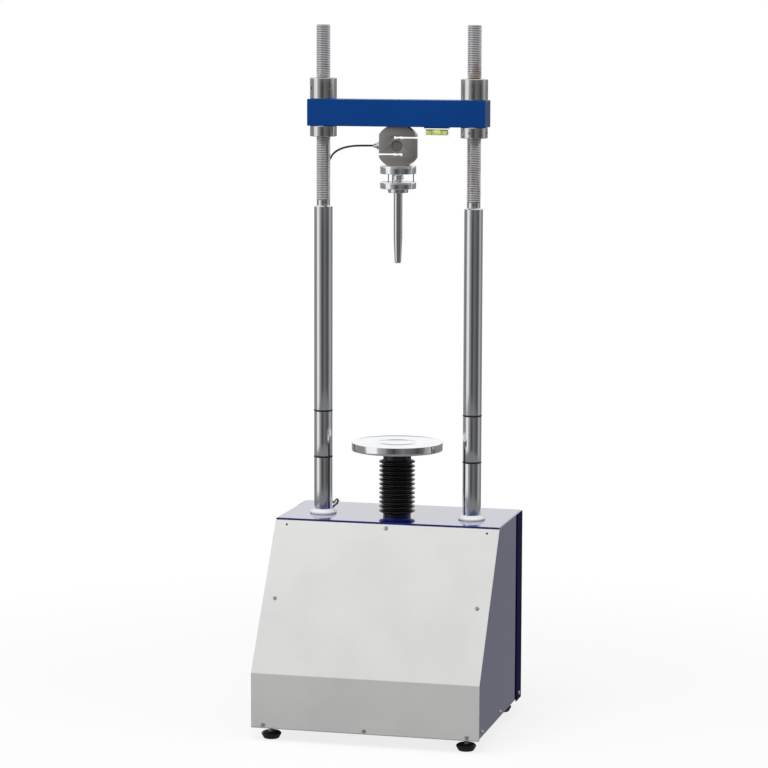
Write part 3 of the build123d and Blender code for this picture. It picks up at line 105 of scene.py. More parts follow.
class Signal:
    """A value in a shader: arithmetic on it adds Math nodes to its tree.

    Args:
        tree: Node tree that holds the socket.
        socket: Output socket that carries the value.
    """

    def __init__(self, tree: bpy.types.NodeTree, socket: bpy.types.NodeSocket) -> None:
        self.tree = tree
        self.socket = socket

    def math(self, operation: str, *others: Union["Signal", Number], clamp: bool = False) -> "Signal":
        """A Math node whose first input is this value.

        Args:
            operation: Blender's name of the operation.
            others: Values or signals of the remaining inputs.
            clamp: Whether the result is kept between 0 and 1.

        Returns:
            The result.
        """
        return combine(self.tree, operation, (self, *others), clamp)

    def __add__(self, other: Union["Signal", Number]) -> "Signal":
        """Sum."""
        return combine(self.tree, "ADD", (self, other))

    def __radd__(self, other: Number) -> "Signal":
        """Sum with a number on the left."""
        return combine(self.tree, "ADD", (other, self))

    def __sub__(self, other: Union["Signal", Number]) -> "Signal":
        """Difference."""
        return combine(self.tree, "SUBTRACT", (self, other))

    def __rsub__(self, other: Number) -> "Signal":
        """Difference from a number."""
        return combine(self.tree, "SUBTRACT", (other, self))

    def __mul__(self, other: Union["Signal", Number]) -> "Signal":
        """Product."""
        return combine(self.tree, "MULTIPLY", (self, other))

    def __rmul__(self, other: Number) -> "Signal":
        """Product with a number on the left."""
        return combine(self.tree, "MULTIPLY", (other, self))

    def __truediv__(self, other: Union["Signal", Number]) -> "Signal":
        """Quotient."""
        return combine(self.tree, "DIVIDE", (self, other))

    def __pow__(self, other: Union["Signal", Number]) -> "Signal":
        """Power."""
        return combine(self.tree, "POWER", (self, other))

    def step(self, low: float, high: float) -> "Signal":
        """Smooth step from 0 at low to 1 at high; a high under the low gives the reverse."""
        node = self.tree.nodes.new("ShaderNodeMapRange")
        node.interpolation_type = "SMOOTHSTEP"
        rising = high > low
        bounds = (low, high, 0.0, 1.0) if rising else (high, low, 1.0, 0.0)
        self.tree.links.new(self.socket, node.inputs[0])
        for index, value in enumerate(bounds):
            node.inputs[index + 1].default_value = value
        return Signal(self.tree, node.outputs[0])


def combine(
    tree: bpy.types.NodeTree, operation: str, values: Sequence[Union[Signal, Number]], clamp: bool = False
) -> Signal:
    """Adds one Math node.

    Args:
        tree: Node tree to add to.
        operation: Blender's name of the operation.
        values: Numbers or signals for its inputs.
        clamp: Whether the result is kept between 0 and 1.

    Returns:
        The result.
    """
    node = tree.nodes.new("ShaderNodeMath")
    node.operation = operation
    node.use_clamp = clamp
    for index, value in enumerate(values):
        if isinstance(value, Signal):
            tree.links.new(value.socket, node.inputs[index])
        else:
            node.inputs[index].default_value = value
    return Signal(tree, node.outputs[0])


class Graph:
    """Node tree of a material or of the world, with short calls for the nodes that it uses.

    Args:
        owner: Material or world whose nodes are rebuilt.
    """

    def __init__(self, owner: Union[bpy.types.Material, bpy.types.World]) -> None:
        owner.use_nodes = True
        self.tree = owner.node_tree
        self.tree.nodes.clear()

    def node(self, kind: str, settings: dict | None = None, inputs: dict | None = None) -> bpy.types.Node:
        """Adds a node.

        Args:
            kind: Blender's type name.
            settings: Properties, set first; stops is a ramp's list of (place, colour).
            inputs: Values, signals or sockets by the name or number of each socket.

        Returns:
            The node.
        """
        node = self.tree.nodes.new(kind)
        for name, value in (settings or {}).items():
            if name == "stops":
                ramp = node.color_ramp
                while len(ramp.elements) < len(value):
                    ramp.elements.new(1.0)
                for element, (place, colour) in zip(ramp.elements, value):
                    element.position = place
                    element.color = (*colour, 1.0)
            elif name == "interpolation" and hasattr(node, "color_ramp"):
                node.color_ramp.interpolation = value
            else:
                setattr(node, name, value)
        for key, value in (inputs or {}).items():
            socket = node.inputs[key]
            if isinstance(value, Signal):
                self.tree.links.new(value.socket, socket)
            elif isinstance(value, bpy.types.NodeSocket):
                self.tree.links.new(value, socket)
            else:
                socket.default_value = value
        return node

    def signal(self, node: bpy.types.Node, output: Union[int, str] = 0) -> Signal:
        """One output of a node as a signal."""
        return Signal(self.tree, node.outputs[output])

    def place(self) -> bpy.types.NodeSocket:
        """Object coordinates of the point, in metres."""
        return self.node("ShaderNodeTexCoord").outputs["Object"]

    def moved(self, centre: Vector, scale: Sequence[float] = (1, 1, 1)) -> bpy.types.NodeSocket:
        """Object coordinates counted from a centre and scaled along each axis."""
        mapping = self.node(
            "ShaderNodeMapping",
            None,
            {"Vector": self.place(), "Location": [-c * s for c, s in zip(centre, scale)], "Scale": scale},
        )
        return mapping.outputs[0]

    def coordinates(self, vector: bpy.types.NodeSocket) -> tuple[Signal, Signal, Signal]:
        """The three components of a vector."""
        parts = self.node("ShaderNodeSeparateXYZ", None, {0: vector})
        return tuple(self.signal(parts, index) for index in range(3))

    def noise(
        self, vector: bpy.types.NodeSocket, scale: float, detail: float = 2.0, roughness: float = 0.5
    ) -> Signal:
        """Noise between 0 and 1 with about scale lumps to the metre."""
        node = self.node(
            "ShaderNodeTexNoise",
            None,
            {"Vector": vector, "Scale": scale, "Detail": detail, "Roughness": roughness},
        )
        return self.signal(node)

    def mix(self, share: Signal, low: Sequence[float], high: Sequence[float]) -> bpy.types.NodeSocket:
        """Blend of two colours, the second at a share of 1."""
        node = self.tree.nodes.new("ShaderNodeMix")
        node.data_type = "RGBA"
        self.tree.links.new(share.socket, node.inputs["Factor"])
        for socket, value in ((node.inputs[6], low), (node.inputs[7], high)):
            if isinstance(value, bpy.types.NodeSocket):
                self.tree.links.new(value, socket)
            else:
                socket.default_value = (*value[:3], 1.0)
        return node.outputs[2]

    def bump(self, height: Signal, depth: float, strength: float = 1.0) -> bpy.types.NodeSocket:
        """Normal of a surface whose height between 0 and 1 stands for a depth in metres."""
        node = self.node(
            "ShaderNodeBump", None, {"Strength": strength, "Distance": depth, "Height": height}
        )
        return node.outputs[0]

    def surface(self, **values: object) -> bpy.types.Node:
        """Principled surface wired to the output; underscores stand for spaces in socket names."""
        shader = self.node("ShaderNodeBsdfPrincipled", None, {k.replace("_", " "): v for k, v in values.items()})
        self.node("ShaderNodeOutputMaterial", None, {"Surface": shader.outputs[0]})
        return shader


def grey(level: float) -> tuple[float, float, float, float]:
    """A neutral colour."""
    return (level, level, level, 1.0)


def rgb(red: int, green: int, blue: int) -> tuple[float, float, float, float]:
    """Linear colour from screen values of 0 to 255."""
    parts = np.array([red, green, blue]) / 255.0
    linear = np.where(parts <= 0.04045, parts / 12.92, ((parts + 0.055) / 1.055) ** 2.4)
    return (*(float(part) for part in linear), 1.0)


# Finishes


@dataclass(frozen=True)
class Finish:
    """A surface finish; its slot names the record's material slot."""

    name: str
    slot: str

    def material(self) -> bpy.types.Material:
        """The finish as a material, made once."""
        known = bpy.data.materials.get(self.name)
        if known is None:
            known = bpy.data.materials.new(self.name)
            self.wire(Graph(known))
        return known

    def wire(self, graph: Graph) -> None:
        """Wires the finish's nodes; each kind of finish has its own."""
        raise NotImplementedError


@dataclass(frozen=True)
class Paint(Finish):
    """Sprayed enamel with a slight orange peel, and faint handling marks in its gloss."""

    colour: tuple[float, float, float, float]
    roughness: float = 0.35
    coat: float = 0.0
    coat_roughness: float = 0.03
    peel_scale: float = 420.0
    peel_depth: float = 0.00004
    marks: float = 0.06
    specular: float = 0.5

    def wire(self, graph: Graph) -> None:
        """Colour with a slow drift, gloss with marks, and a bump of peel."""
        place = graph.place()
        drift = graph.noise(place, 9.0, 3.0).step(0.3, 0.7)
        darker = tuple(part * 0.94 for part in self.colour)
        marks = graph.noise(place, 34.0, 5.0, 0.65)
        peel = graph.noise(place, self.peel_scale, 1.0)
        graph.surface(
            Base_Color=graph.mix(drift, darker, self.colour),
            Roughness=marks * self.marks + (self.roughness - self.marks / 2),
            Normal=graph.bump(peel, self.peel_depth),
            Coat_Weight=self.coat,
            Coat_Roughness=self.coat_roughness,
            Specular_IOR_Level=self.specular,
        )


@dataclass(frozen=True)
class GroundChrome(Finish):
    """Hard chrome over ground steel: fine marks run round the axis, and the gloss wanders along it."""

    axis: Axis = Axis.Z
    tint: tuple[float, float, float, float] = (0.80, 0.81, 0.84, 1.0)
    roughness: float = 0.10
    grain: float = 900.0
    depth: float = 0.000006

    def wire(self, graph: Graph) -> None:
        """Metal whose bump varies quickly along the axis and slowly round it."""
        stretch = [8.0, 8.0, 8.0]
        stretch[self.axis.value] = self.grain
        fine = graph.noise(graph.moved(Vector(), stretch), 1.0, 3.0, 0.6)
        cloud = graph.noise(graph.place(), 22.0, 4.0, 0.6)
        haze = cloud.step(0.35, 0.75) * 0.06
        graph.surface(
            Base_Color=graph.mix(cloud, tuple(part * 0.93 for part in self.tint), self.tint),
            Metallic=1.0,
            Roughness=fine * 0.05 + haze + (self.roughness - 0.03),
            Normal=graph.bump(fine, self.depth),
        )


@dataclass(frozen=True)
class TurnedSteel(Finish):
    """Machined steel with turning marks: rings on end faces, and rings round the outside."""

    centre: tuple[float, float] = (0.0, 0.0)
    tint: tuple[float, float, float, float] = (0.74, 0.74, 0.75, 1.0)
    roughness: float = 0.16
    pitch: float = 0.00035
    depth: float = 0.000008
    stain: float = 0.0

    def wire(self, graph: Graph) -> None:
        """Waves over the distance from the axis and over the height give the marks."""
        centred = graph.moved(Vector((*self.centre, 0.0)))
        x, y, z = graph.coordinates(centred)
        radius = (x * x + y * y) ** 0.5
        wobble = graph.noise(centred, 60.0, 2.0)
        rings = (radius * (TAU / self.pitch) + wobble * 4.0).math("SINE") * 0.5 + 0.5
        tiers = (z * (TAU / self.pitch) + wobble * 4.0).math("SINE") * 0.5 + 0.5
        fine = graph.noise(graph.moved(Vector(), (12.0, 12.0, 1400.0)), 1.0, 3.0)
        cloud = graph.noise(centred, 45.0, 4.0, 0.6)
        dull = cloud.step(0.45, 0.8)
        worn = tuple(part * (0.86 - self.stain) for part in self.tint)
        graph.surface(
            Base_Color=graph.mix(dull, self.tint, worn),
            Metallic=1.0,
            Roughness=dull * 0.10 + fine * 0.06 + (self.roughness - 0.05),
            Normal=graph.bump(rings * 0.4 + tiers * 0.3 + fine * 0.3, self.depth),
        )


@dataclass(frozen=True)
class ThreadSteel(Finish):
    """Rolled thread: bright crests, flanks darkened towards the roots by painted shade, and brown stains along one
    side.
    """

    centre: tuple[float, float] = (0.0, 0.0)
    crest: float = 12.5 * MM
    root: float = 10.66 * MM
    stain: float = 0.0
    tint: tuple[float, float, float, float] = (0.76, 0.76, 0.78, 1.0)
    oil: tuple[float, float, float, float] = (0.36, 0.24, 0.13, 1.0)
    roughness: float = 0.17

    def wire(self, graph: Graph) -> None:
        """The distance from the axis tells a root from a crest."""
        centred = graph.moved(Vector((*self.centre, 0.0)))
        x, y, z = graph.coordinates(centred)
        radius = (x * x + y * y) ** 0.5
        groove = radius.step(self.crest, self.root)
        patches = graph.noise(graph.moved(Vector((*self.centre, 0.0)), (30.0, 30.0, 11.0)), 1.0, 5.0, 0.7)
        oiled = patches.step(0.46, 0.62) * (groove * 0.6 + 0.4) * self.stain
        smudge = graph.noise(centred, 160.0, 3.0)
        # Painted shade: the thread's roots are darkened, unevenly by the smudge noise.
        root_shade = tuple(part * 0.45 for part in self.tint)
        metal = graph.mix(groove * (smudge * 0.5 + 0.35), self.tint, root_shade)
        graph.surface(
            Base_Color=graph.mix(oiled, metal, self.oil),
            Metallic=1.0,
            Roughness=groove * 0.16 + smudge * 0.08 + oiled * 0.2 + (self.roughness - 0.04),
        )


@dataclass(frozen=True)
class BlastedSteel(Finish):
    """Fine bead-blasted steel: a grain of tiny pits and cloudy handling marks."""

    tint: tuple[float, float, float, float] = (0.42, 0.39, 0.37, 1.0)
    roughness: float = 0.42
    grain: float = 2600.0
    depth: float = 0.00002
    metallic: float = 1.0

    def wire(self, graph: Graph) -> None:
        """Grain in the bump, clouds in the colour and gloss."""
        place = graph.place()
        grain = graph.noise(place, self.grain, 2.0)
        cloud = graph.noise(place, 70.0, 4.0, 0.6).step(0.3, 0.75)
        light = tuple(min(1.0, part * 1.12) for part in self.tint)
        graph.surface(
            Base_Color=graph.mix(cloud, self.tint, light),
            Metallic=self.metallic,
            Roughness=cloud * 0.1 + grain * 0.08 + (self.roughness - 0.09),
            Normal=graph.bump(grain, self.depth),
        )


@dataclass(frozen=True)
class Moulded(Finish):
    """Moulded rubber or plastic: a fine grain, and pale dust or scuffs where noise says."""

    colour: tuple[float, float, float, float]
    roughness: float = 0.5
    grain: float = 1500.0
    depth: float = 0.00002
    dust: float = 0.1
    dust_colour: tuple[float, float, float, float] = (0.3, 0.3, 0.29, 1.0)
    subsurface: float = 0.0

    def wire(self, graph: Graph) -> None:
        """Dust over the base colour, and a grain in the bump."""
        place = graph.place()
        grain = graph.noise(place, self.grain, 2.0)
        lumps = graph.noise(place, 60.0, 5.0, 0.7)
        dusty = lumps.step(0.5, 0.85) * self.dust
        graph.surface(
            Base_Color=graph.mix(dusty, self.colour, self.dust_colour),
            Roughness=lumps * 0.12 + (self.roughness - 0.06),
            Normal=graph.bump(grain, self.depth),
            Subsurface_Weight=self.subsurface,
            Subsurface_Scale=0.004,
        )


@dataclass(frozen=True)
class ClearPlastic(Finish):
    """Polished clear acrylic with the faintest waviness."""

    tint: tuple[float, float, float, float] = (0.97, 1.0, 0.96, 1.0)
    roughness: float = 0.02

    def wire(self, graph: Graph) -> None:
        """Transmission with a slow bump."""
        wave = graph.noise(graph.place(), 90.0, 1.0)
        graph.surface(
            Base_Color=self.tint,
            Roughness=self.roughness,
            IOR=1.12,
            Transmission_Weight=1.0,
            Normal=graph.bump(wave, 0.00001),
        )


@dataclass(frozen=True)
class Liquid(Finish):
    """Fluorescent liquid of a level with a painted glow: an even emission of its own tone over its whole body."""

    colour: tuple[float, float, float, float] = (0.72, 0.88, 0.02, 1.0)
    painted_glow: float = 0.9

    def wire(self, graph: Graph) -> None:
        """Coloured body with a cloudy depth, and a painted glow from an emission of the same tone."""
        cloud = graph.noise(graph.place(), 120.0, 2.0)
        deep = tuple(part * 0.8 for part in self.colour)
        tone = graph.mix(cloud, deep, self.colour)
        graph.surface(
            Base_Color=tone,
            Roughness=0.12,
            # Painted glow: the liquid emits its own tone though it is no lamp.
            Emission_Color=tone,
            Emission_Strength=self.painted_glow,
            Coat_Weight=0.6,
        )


COLUMN_BOXES = {side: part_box(f"column_{side}") for side in ("left", "right")}
COLUMN_Y = sum(corner.y for corner in COLUMN_BOXES["left"]) / 2
COLUMN_X = sum(corner.x for corner in COLUMN_BOXES["right"]) / 2
CENTRE = (0.0, COLUMN_Y)

PANEL_GREY = Paint("panel_grey", "pale_grey_paint", rgb(226, 227, 225), roughness=0.42, marks=0.02)
NAVY = Paint("gloss_navy", "navy_gloss_paint", rgb(12, 32, 122), roughness=0.12, coat=1.0, peel_depth=0.00002)
# Painted shade: a darker, barely reflecting copy of the gloss navy, which paints the dark reflection seen on the rear
# cover.
REAR_NAVY_SHADED = Paint("rear_navy_painted_shade", "navy_gloss_paint", rgb(4, 6, 62), roughness=0.5, specular=0.03)
# Painted shade: the top plate is made near black so that the cover holes over it read as a dark interior.
TOP_PLATE_SHADE_BLACK = Paint("top_plate_painted_shade", "steel", rgb(22, 22, 24), roughness=0.7, specular=0.2)
BEAM_BLUE = Paint("beam_blue", "blue_paint", rgb(3, 62, 134), roughness=0.32, coat=0.3, specular=0.1)
LEVEL_BLUE = Paint("level_blue", "blue_paint", rgb(16, 78, 150), roughness=0.35)
FRAME_GREY = Paint("frame_grey", "grey_primer", rgb(92, 94, 97), roughness=0.6)
MOTOR_BLACK = Paint("motor_black", "motor_black", rgb(28, 28, 30), roughness=0.45)
CHROME = GroundChrome("column_chrome", "chrome")
POLISHED = TurnedSteel("polished_steel", "chrome", CENTRE, (0.90, 0.91, 0.94, 1.0), roughness=0.07, depth=0.000004)
INNER_STEEL = TurnedSteel("inner_steel", "steel", CENTRE)
RAM_STEEL = GroundChrome("ram_chrome", "chrome", roughness=0.14, depth=0.000008)
CELL_STEEL = BlastedSteel("cell_steel", "cell_steel")
ZINC = BlastedSteel("zinc", "zinc", rgb(224, 226, 230), roughness=0.26, grain=1200.0, metallic=0.45)
BRONZE = BlastedSteel("bronze", "bronze", (0.62, 0.42, 0.18, 1.0), roughness=0.32)
ALUMINIUM = BlastedSteel("aluminium", "aluminium", (0.72, 0.73, 0.75, 1.0), roughness=0.36)
CASTING = BlastedSteel("casting", "cast_iron", rgb(84, 88, 92), roughness=0.62, metallic=0.2)
BELLOWS_RUBBER = Moulded("bellows_rubber", "rubber", grey(0.008), roughness=0.28, dust=0.04)
FOOT_RUBBER = Moulded("foot_rubber", "rubber", grey(0.012), roughness=0.5)
CABLE_JACKET = Moulded("cable_jacket", "cable_black", grey(0.009), roughness=0.38, dust=0.05)
NYLON = Moulded("nylon", "nylon", grey(0.86), roughness=0.38, dust=0.15, dust_colour=grey(0.6), subsurface=0.15)
BLACK_PLASTIC = Moulded("black_plastic", "black_plastic", grey(0.02), roughness=0.4)
POTTING = Moulded("potting", "potting", rgb(70, 68, 66), roughness=0.45, dust=0.2, dust_colour=grey(0.16))
BOARD = Moulded("board", "board_green", rgb(28, 96, 60), roughness=0.4)
ACRYLIC = ClearPlastic("acrylic", "clear_block")
# The level's liquid and bubble carry a painted glow: their emission stands in for light.
VIAL = Liquid("vial_liquid", "vial_liquid")
BUBBLE = Liquid("vial_bubble", "vial_liquid", (0.90, 0.96, 0.45, 1.0), painted_glow=0.9)

CAD_FINISHES: dict[str, Finish] = {
    "base_frame": FRAME_GREY,
    # near-black paint on the top plate stands in for the shade inside the cabinet
    "top_plate": TOP_PLATE_SHADE_BLACK,
    "wrap_cover": NAVY,
    "front_cover": PANEL_GREY,
    # the rear cover takes the darker copy of the navy, a painted shade
    "rear_cover": REAR_NAVY_SHADED,
    "cover_screws": ZINC,
    "foot_lock_nuts": ZINC,
    "foot_front_left": FOOT_RUBBER,
    "foot_front_right": FOOT_RUBBER,
    "foot_rear_left": FOOT_RUBBER,
    "foot_rear_right": FOOT_RUBBER,
    "column_left": CHROME,
    "column_right": CHROME,
    "column_rings": FOOT_RUBBER,
    "column_collars": NYLON,
    "column_base_nuts": ZINC,
    "crosshead": BEAM_BLUE,
    "upper_nut_left": POLISHED,
    "upper_nut_right": POLISHED,
    "lower_nut_left": POLISHED,
    "lower_nut_right": POLISHED,
    "load_cell": CELL_STEEL,
    "cell_potting": POTTING,
    "cell_bolt": INNER_STEEL,
    "cable_gland": INNER_STEEL,
    "cell_plug": BLACK_PLASTIC,
    "upper_seat_disc": POLISHED,
    "seat_ball": INNER_STEEL,
    "seat_screws": INNER_STEEL,
    "lower_seat_disc": POLISHED,
    "loading_ram": RAM_STEEL,
    "level_plate": LEVEL_BLUE,
    "level_block": ACRYLIC,
    "level_vial": VIAL,
    "platen": POLISHED,
    "lead_screw": INNER_STEEL,
    "bellows": BELLOWS_RUBBER,
    "screw_bush": BRONZE,
    "jack_housing": CASTING,
    "jack_screws": ZINC,
    "bearing_outer": INNER_STEEL,
    "bearing_inner": INNER_STEEL,
    "drive_nut": BRONZE,
    "nut_pulley": ALUMINIUM,
    "motor_pulley": INNER_STEEL,
    "drive_belt": FOOT_RUBBER,
    "motor_bracket": FRAME_GREY,
    "gearbox": ALUMINIUM,
    "stepper_motor": MOTOR_BLACK,
    "guide_rod": CHROME,
    "guide_arm": INNER_STEEL,
    "limit_switches": BLACK_PLASTIC,
    "power_inlet": BLACK_PLASTIC,
    "power_switch": BLACK_PLASTIC,
    "cell_socket": INNER_STEEL,
    "data_socket": INNER_STEEL,
    "control_board": BOARD,
    "power_supply": ALUMINIUM,
}


# Surfaces


def profile(*corners: Corner, steps: int = 5) -> np.ndarray:
    """A line through corners, each rounded by an arc.

    An arc starts and ends at round * tan(turn / 2) from its corner, and its points are the two tangent points
    turned about the arc's centre in even steps.

    Args:
        corners: (radius, height, round) of each corner; the round of the two ends is not used.
        steps: Steps along each arc.

    Returns:
        Points (radius, height), one row each.
    """
    points = np.array([corner[:2] for corner in corners], float)
    line = [points[0]]
    for before, here, after, (_, _, round_off) in zip(points, points[1:], points[2:], corners[1:-1]):
        ahead = (after - here) / np.linalg.norm(after - here)
        back = (before - here) / np.linalg.norm(before - here)
        cosine = float(np.clip(-ahead @ back, -1, 1))
        turn = math.acos(cosine)
        if round_off <= 0 or turn < 1e-3:
            line.append(here)
            continue
        reach = round_off * math.tan(turn / 2)
        middle = (ahead + back) / np.linalg.norm(ahead + back)
        centre = here + middle * (round_off / math.cos(turn / 2))
        start = here + back * reach - centre
        side = math.copysign(1.0, -back[0] * ahead[1] + back[1] * ahead[0])
        angles = side * np.linspace(0, turn, steps + 1)
        cos, sin = np.cos(angles), np.sin(angles)
        arc = np.stack((start[0] * cos - start[1] * sin, start[0] * sin + start[1] * cos), 1)
        line.extend(centre + arc)
    line.append(points[-1])
    return np.array(line)


def turned(line: np.ndarray, axis: tuple[float, float], angles: Union[int, np.ndarray] = 96) -> np.ndarray:
    """A profile turned about a vertical axis: point = axis + radius * (cos, sin), height.

    Args:
        line: Points (radius, height).
        axis: Place (x, y) of the axis.
        angles: Number of even steps, or the angles themselves.

    Returns:
        Grid of points, a row for each profile point.
    """
    if isinstance(angles, int):
        angles = np.arange(angles) * TAU / angles
    radius = line[:, :1]
    x = axis[0] + radius * np.cos(angles)
    y = axis[1] + radius * np.sin(angles)
    z = np.broadcast_to(line[:, 1:], x.shape)
    return np.stack((x, y, z), 2)


class Surface:
    """Grids and caps gathered into one mesh."""

    def __init__(self) -> None:
        self.points: list[np.ndarray] = []
        self.faces: list[tuple[int, ...]] = []
        self.count = 0

    def add(self, points: np.ndarray, faces: np.ndarray) -> None:
        """Adds points and the faces between them, numbered from these points' first."""
        self.points.append(points.reshape(-1, 3))
        self.faces.extend(map(tuple, (faces + self.count).tolist()))
        self.count += points.reshape(-1, 3).shape[0]

    def grid(self, points: np.ndarray, wrap: bool = True) -> "Surface":
        """Adds a grid of four-sided faces.

        Args:
            points: Rows of columns of points.
            wrap: Whether the last column joins the first.

        Returns:
            This surface.
        """
        rows, columns = points.shape[:2]
        index = np.arange(rows * columns).reshape(rows, columns)
        right = np.roll(index, -1, 1)
        if not wrap:
            index, right = index[:, :-1], right[:, :-1]
        quads = np.stack((index[:-1], right[:-1], right[1:], index[1:]), 2).reshape(-1, 4)
        self.add(points, quads)
        return self

    def plate(self, outlines: Sequence[np.ndarray], place: Matrix, thickness: float, edge: float) -> "Surface":
        """Adds a plate with holes whose edges are rounded.

        The outlines are moved inwards by edge * (1 - cos) while the height falls by edge * (1 - sin), which
        carries each wall round a quarter circle into the two flat faces.

        Args:
            outlines: Outer outline, anticlockwise, then the holes, clockwise, as points (u, v).
            place: Matrix from (u, v, w) to space, with w from minus to plus half the thickness.
            thickness: Distance between the faces.
            edge: Radius of the rounded edges.

        Returns:
            This surface.
        """
        angles = np.linspace(0, math.pi / 2, 4)
        moves = edge * (1 - np.cos(angles))
        heights = thickness / 2 - edge * (1 - np.sin(angles))
        turn = np.array(place.to_3x3()).T
        origin = np.array(place.translation)
        caps = []
        for outline in outlines:
            rings = [inset(outline, move) for move in moves]
            walls = [(ring, height) for ring, height in zip(rings, heights)]
            lower = [(ring, -height) for ring, height in reversed(walls)]
            grid = np.array([np.column_stack((ring, np.full(len(ring), w))) for ring, w in lower + walls])
            self.grid(grid @ turn + origin)
            caps.append(rings[-1])
        flat = np.concatenate(caps)
        triangles = np.array(tessellate_polygon([[Vector((*point, 0)) for point in cap] for cap in caps]))
        for w in (-thickness / 2, thickness / 2):
            self.add(np.column_stack((flat, np.full(len(flat), w))) @ turn + origin, triangles)
        return self

    def piece(
        self, name: str, finish: Finish, stands_for: Sequence[str], sharp: float = 32.0, hides: bool = True
    ) -> bpy.types.Object:
        """Closes the seams and makes the object.

        Args:
            name: Name of the piece.
            finish: Its finish.
            stands_for: CAD nodes that it belongs to; it rides on the first one's body.
            sharp: Angle in degrees past which an edge is drawn sharp.
            hides: Whether it is shown in place of those nodes.

        Returns:
            The object.
        """
        mesh = bpy.data.meshes.new(name)
        mesh.from_pydata(np.concatenate(self.points), [], self.faces)
        work = bmesh.new()
        work.from_mesh(mesh)
        bmesh.ops.remove_doubles(work, verts=work.verts, dist=1e-6)
        bmesh.ops.dissolve_degenerate(work, edges=work.edges, dist=1e-7)
        bmesh.ops.recalc_face_normals(work, faces=work.faces)
        work.to_mesh(mesh)
        work.free()
        mesh.shade_smooth()
        mesh.set_sharp_from_angle(angle=math.radians(sharp))
        return adopt(bpy.data.objects.new(name, mesh), finish, stands_for, hides)


def inset(outline: np.ndarray, move: float) -> np.ndarray:
    """An outline moved to its left by a distance, each corner along its mitre.

    Args:
        outline: Closed outline, points (u, v).
        move: Distance.

    Returns:
        Moved points.
    """
    ahead = np.roll(outline, -1, 0) - outline
    ahead /= np.linalg.norm(ahead, axis=1, keepdims=True)
    normal = np.column_stack((-ahead[:, 1], ahead[:, 0]))
    before = np.roll(normal, 1, 0)
    mitre = normal + before
    mitre /= np.maximum((mitre * normal).sum(1, keepdims=True), 1e-6)
    return outline + mitre * move


def adopt(
    obj: bpy.types.Object, finish: Finish, stands_for: Sequence[str], hides: bool = True
) -> bpy.types.Object:
    """Links a new piece, gives it its finish and the body of its CAD node, and hides the nodes that it stands for."""
    bpy.context.scene.collection.objects.link(obj)
    obj.data.materials.clear()
    obj.data.materials.append(finish.material())
    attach(obj, frame["nodes"][stands_for[0]]["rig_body"])
    if hides:
        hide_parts(*stands_for)
    return obj


def dress(node: str, finish: Finish) -> None:
    """Gives a CAD node's slots one finish."""
    for slot in frame["nodes"][node].material_slots:
        slot.material = finish.material()


def centre_of(node: str) -> Vector:
    """Middle of a CAD node's box."""
    low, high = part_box(node)
    return (low + high) / 2


def softened(node: str, finish: Finish, width: float, segments: int = 2) -> bpy.types.Object:
    """A copy of a CAD node with its flat faces joined and its sharp edges rounded.

    Args:
        node: CAD node, which the copy stands for.
        finish: Its finish.
        width: Width of the rounding in metres.
        segments: Steps of the rounding.

    Returns:
        The copy.
    """
    mesh = frame["nodes"][node].data.copy()
    mesh.name = f"{node}_soft"
    work = bmesh.new()
    work.from_mesh(mesh)
    bmesh.ops.remove_doubles(work, verts=work.verts, dist=1e-6)
    bmesh.ops.dissolve_limit(
        work, angle_limit=math.radians(0.5), verts=work.verts, edges=work.edges, delimit={"NORMAL"}
    )
    sharp = [edge for edge in work.edges if edge.is_manifold and edge.calc_face_angle() > math.radians(30)]
    bmesh.ops.bevel(
        work, geom=sharp, offset=width, segments=segments, profile=0.5, affect="EDGES", clamp_overlap=True
    )
    work.to_mesh(mesh)
    work.free()
    mesh.shade_smooth()
    mesh.set_sharp_from_angle(angle=math.radians(60))
    piece = adopt(bpy.data.objects.new(f"{node}_soft", mesh), finish, [node])
    weighted = piece.modifiers.new("flat_faces_stay_flat", "WEIGHTED_NORMAL")
    weighted.keep_sharp = True
    weighted.weight = 100
    return piece


def circle(radius: float, centre: tuple[float, float] = (0.0, 0.0), steps: int = 96) -> np.ndarray:
    """A circle's outline, anticlockwise; a minus number of steps gives it clockwise."""
    angles = np.linspace(0, math.copysign(TAU, steps), abs(steps), endpoint=False)
    return np.column_stack((centre[0] + radius * np.cos(angles), centre[1] + radius * np.sin(angles)))


def arc(centre: tuple[float, float], radius: float, start: float, end: float, steps: int = 12) -> np.ndarray:
    """Points of an arc between two angles in degrees."""
    angles = np.radians(np.linspace(start, end, steps + 1))
    return np.column_stack((centre[0] + radius * np.cos(angles), centre[1] + radius * np.sin(angles)))


def level_place(height: float, x: float = 0.0, y: float = COLUMN_Y) -> Matrix:
    """Matrix that lays (u, v) out level at a height, over a point."""
    return Matrix.Translation((x, y, height))


def upright_place(height: float) -> Matrix:
    """Matrix that stands (u, v) up in the plane of the columns' axes: u to the right, v upwards."""
    return Matrix.Translation((0, COLUMN_Y, height)) @ Matrix.Rotation(math.pi / 2, 4, "X")


# Sub-assemblies


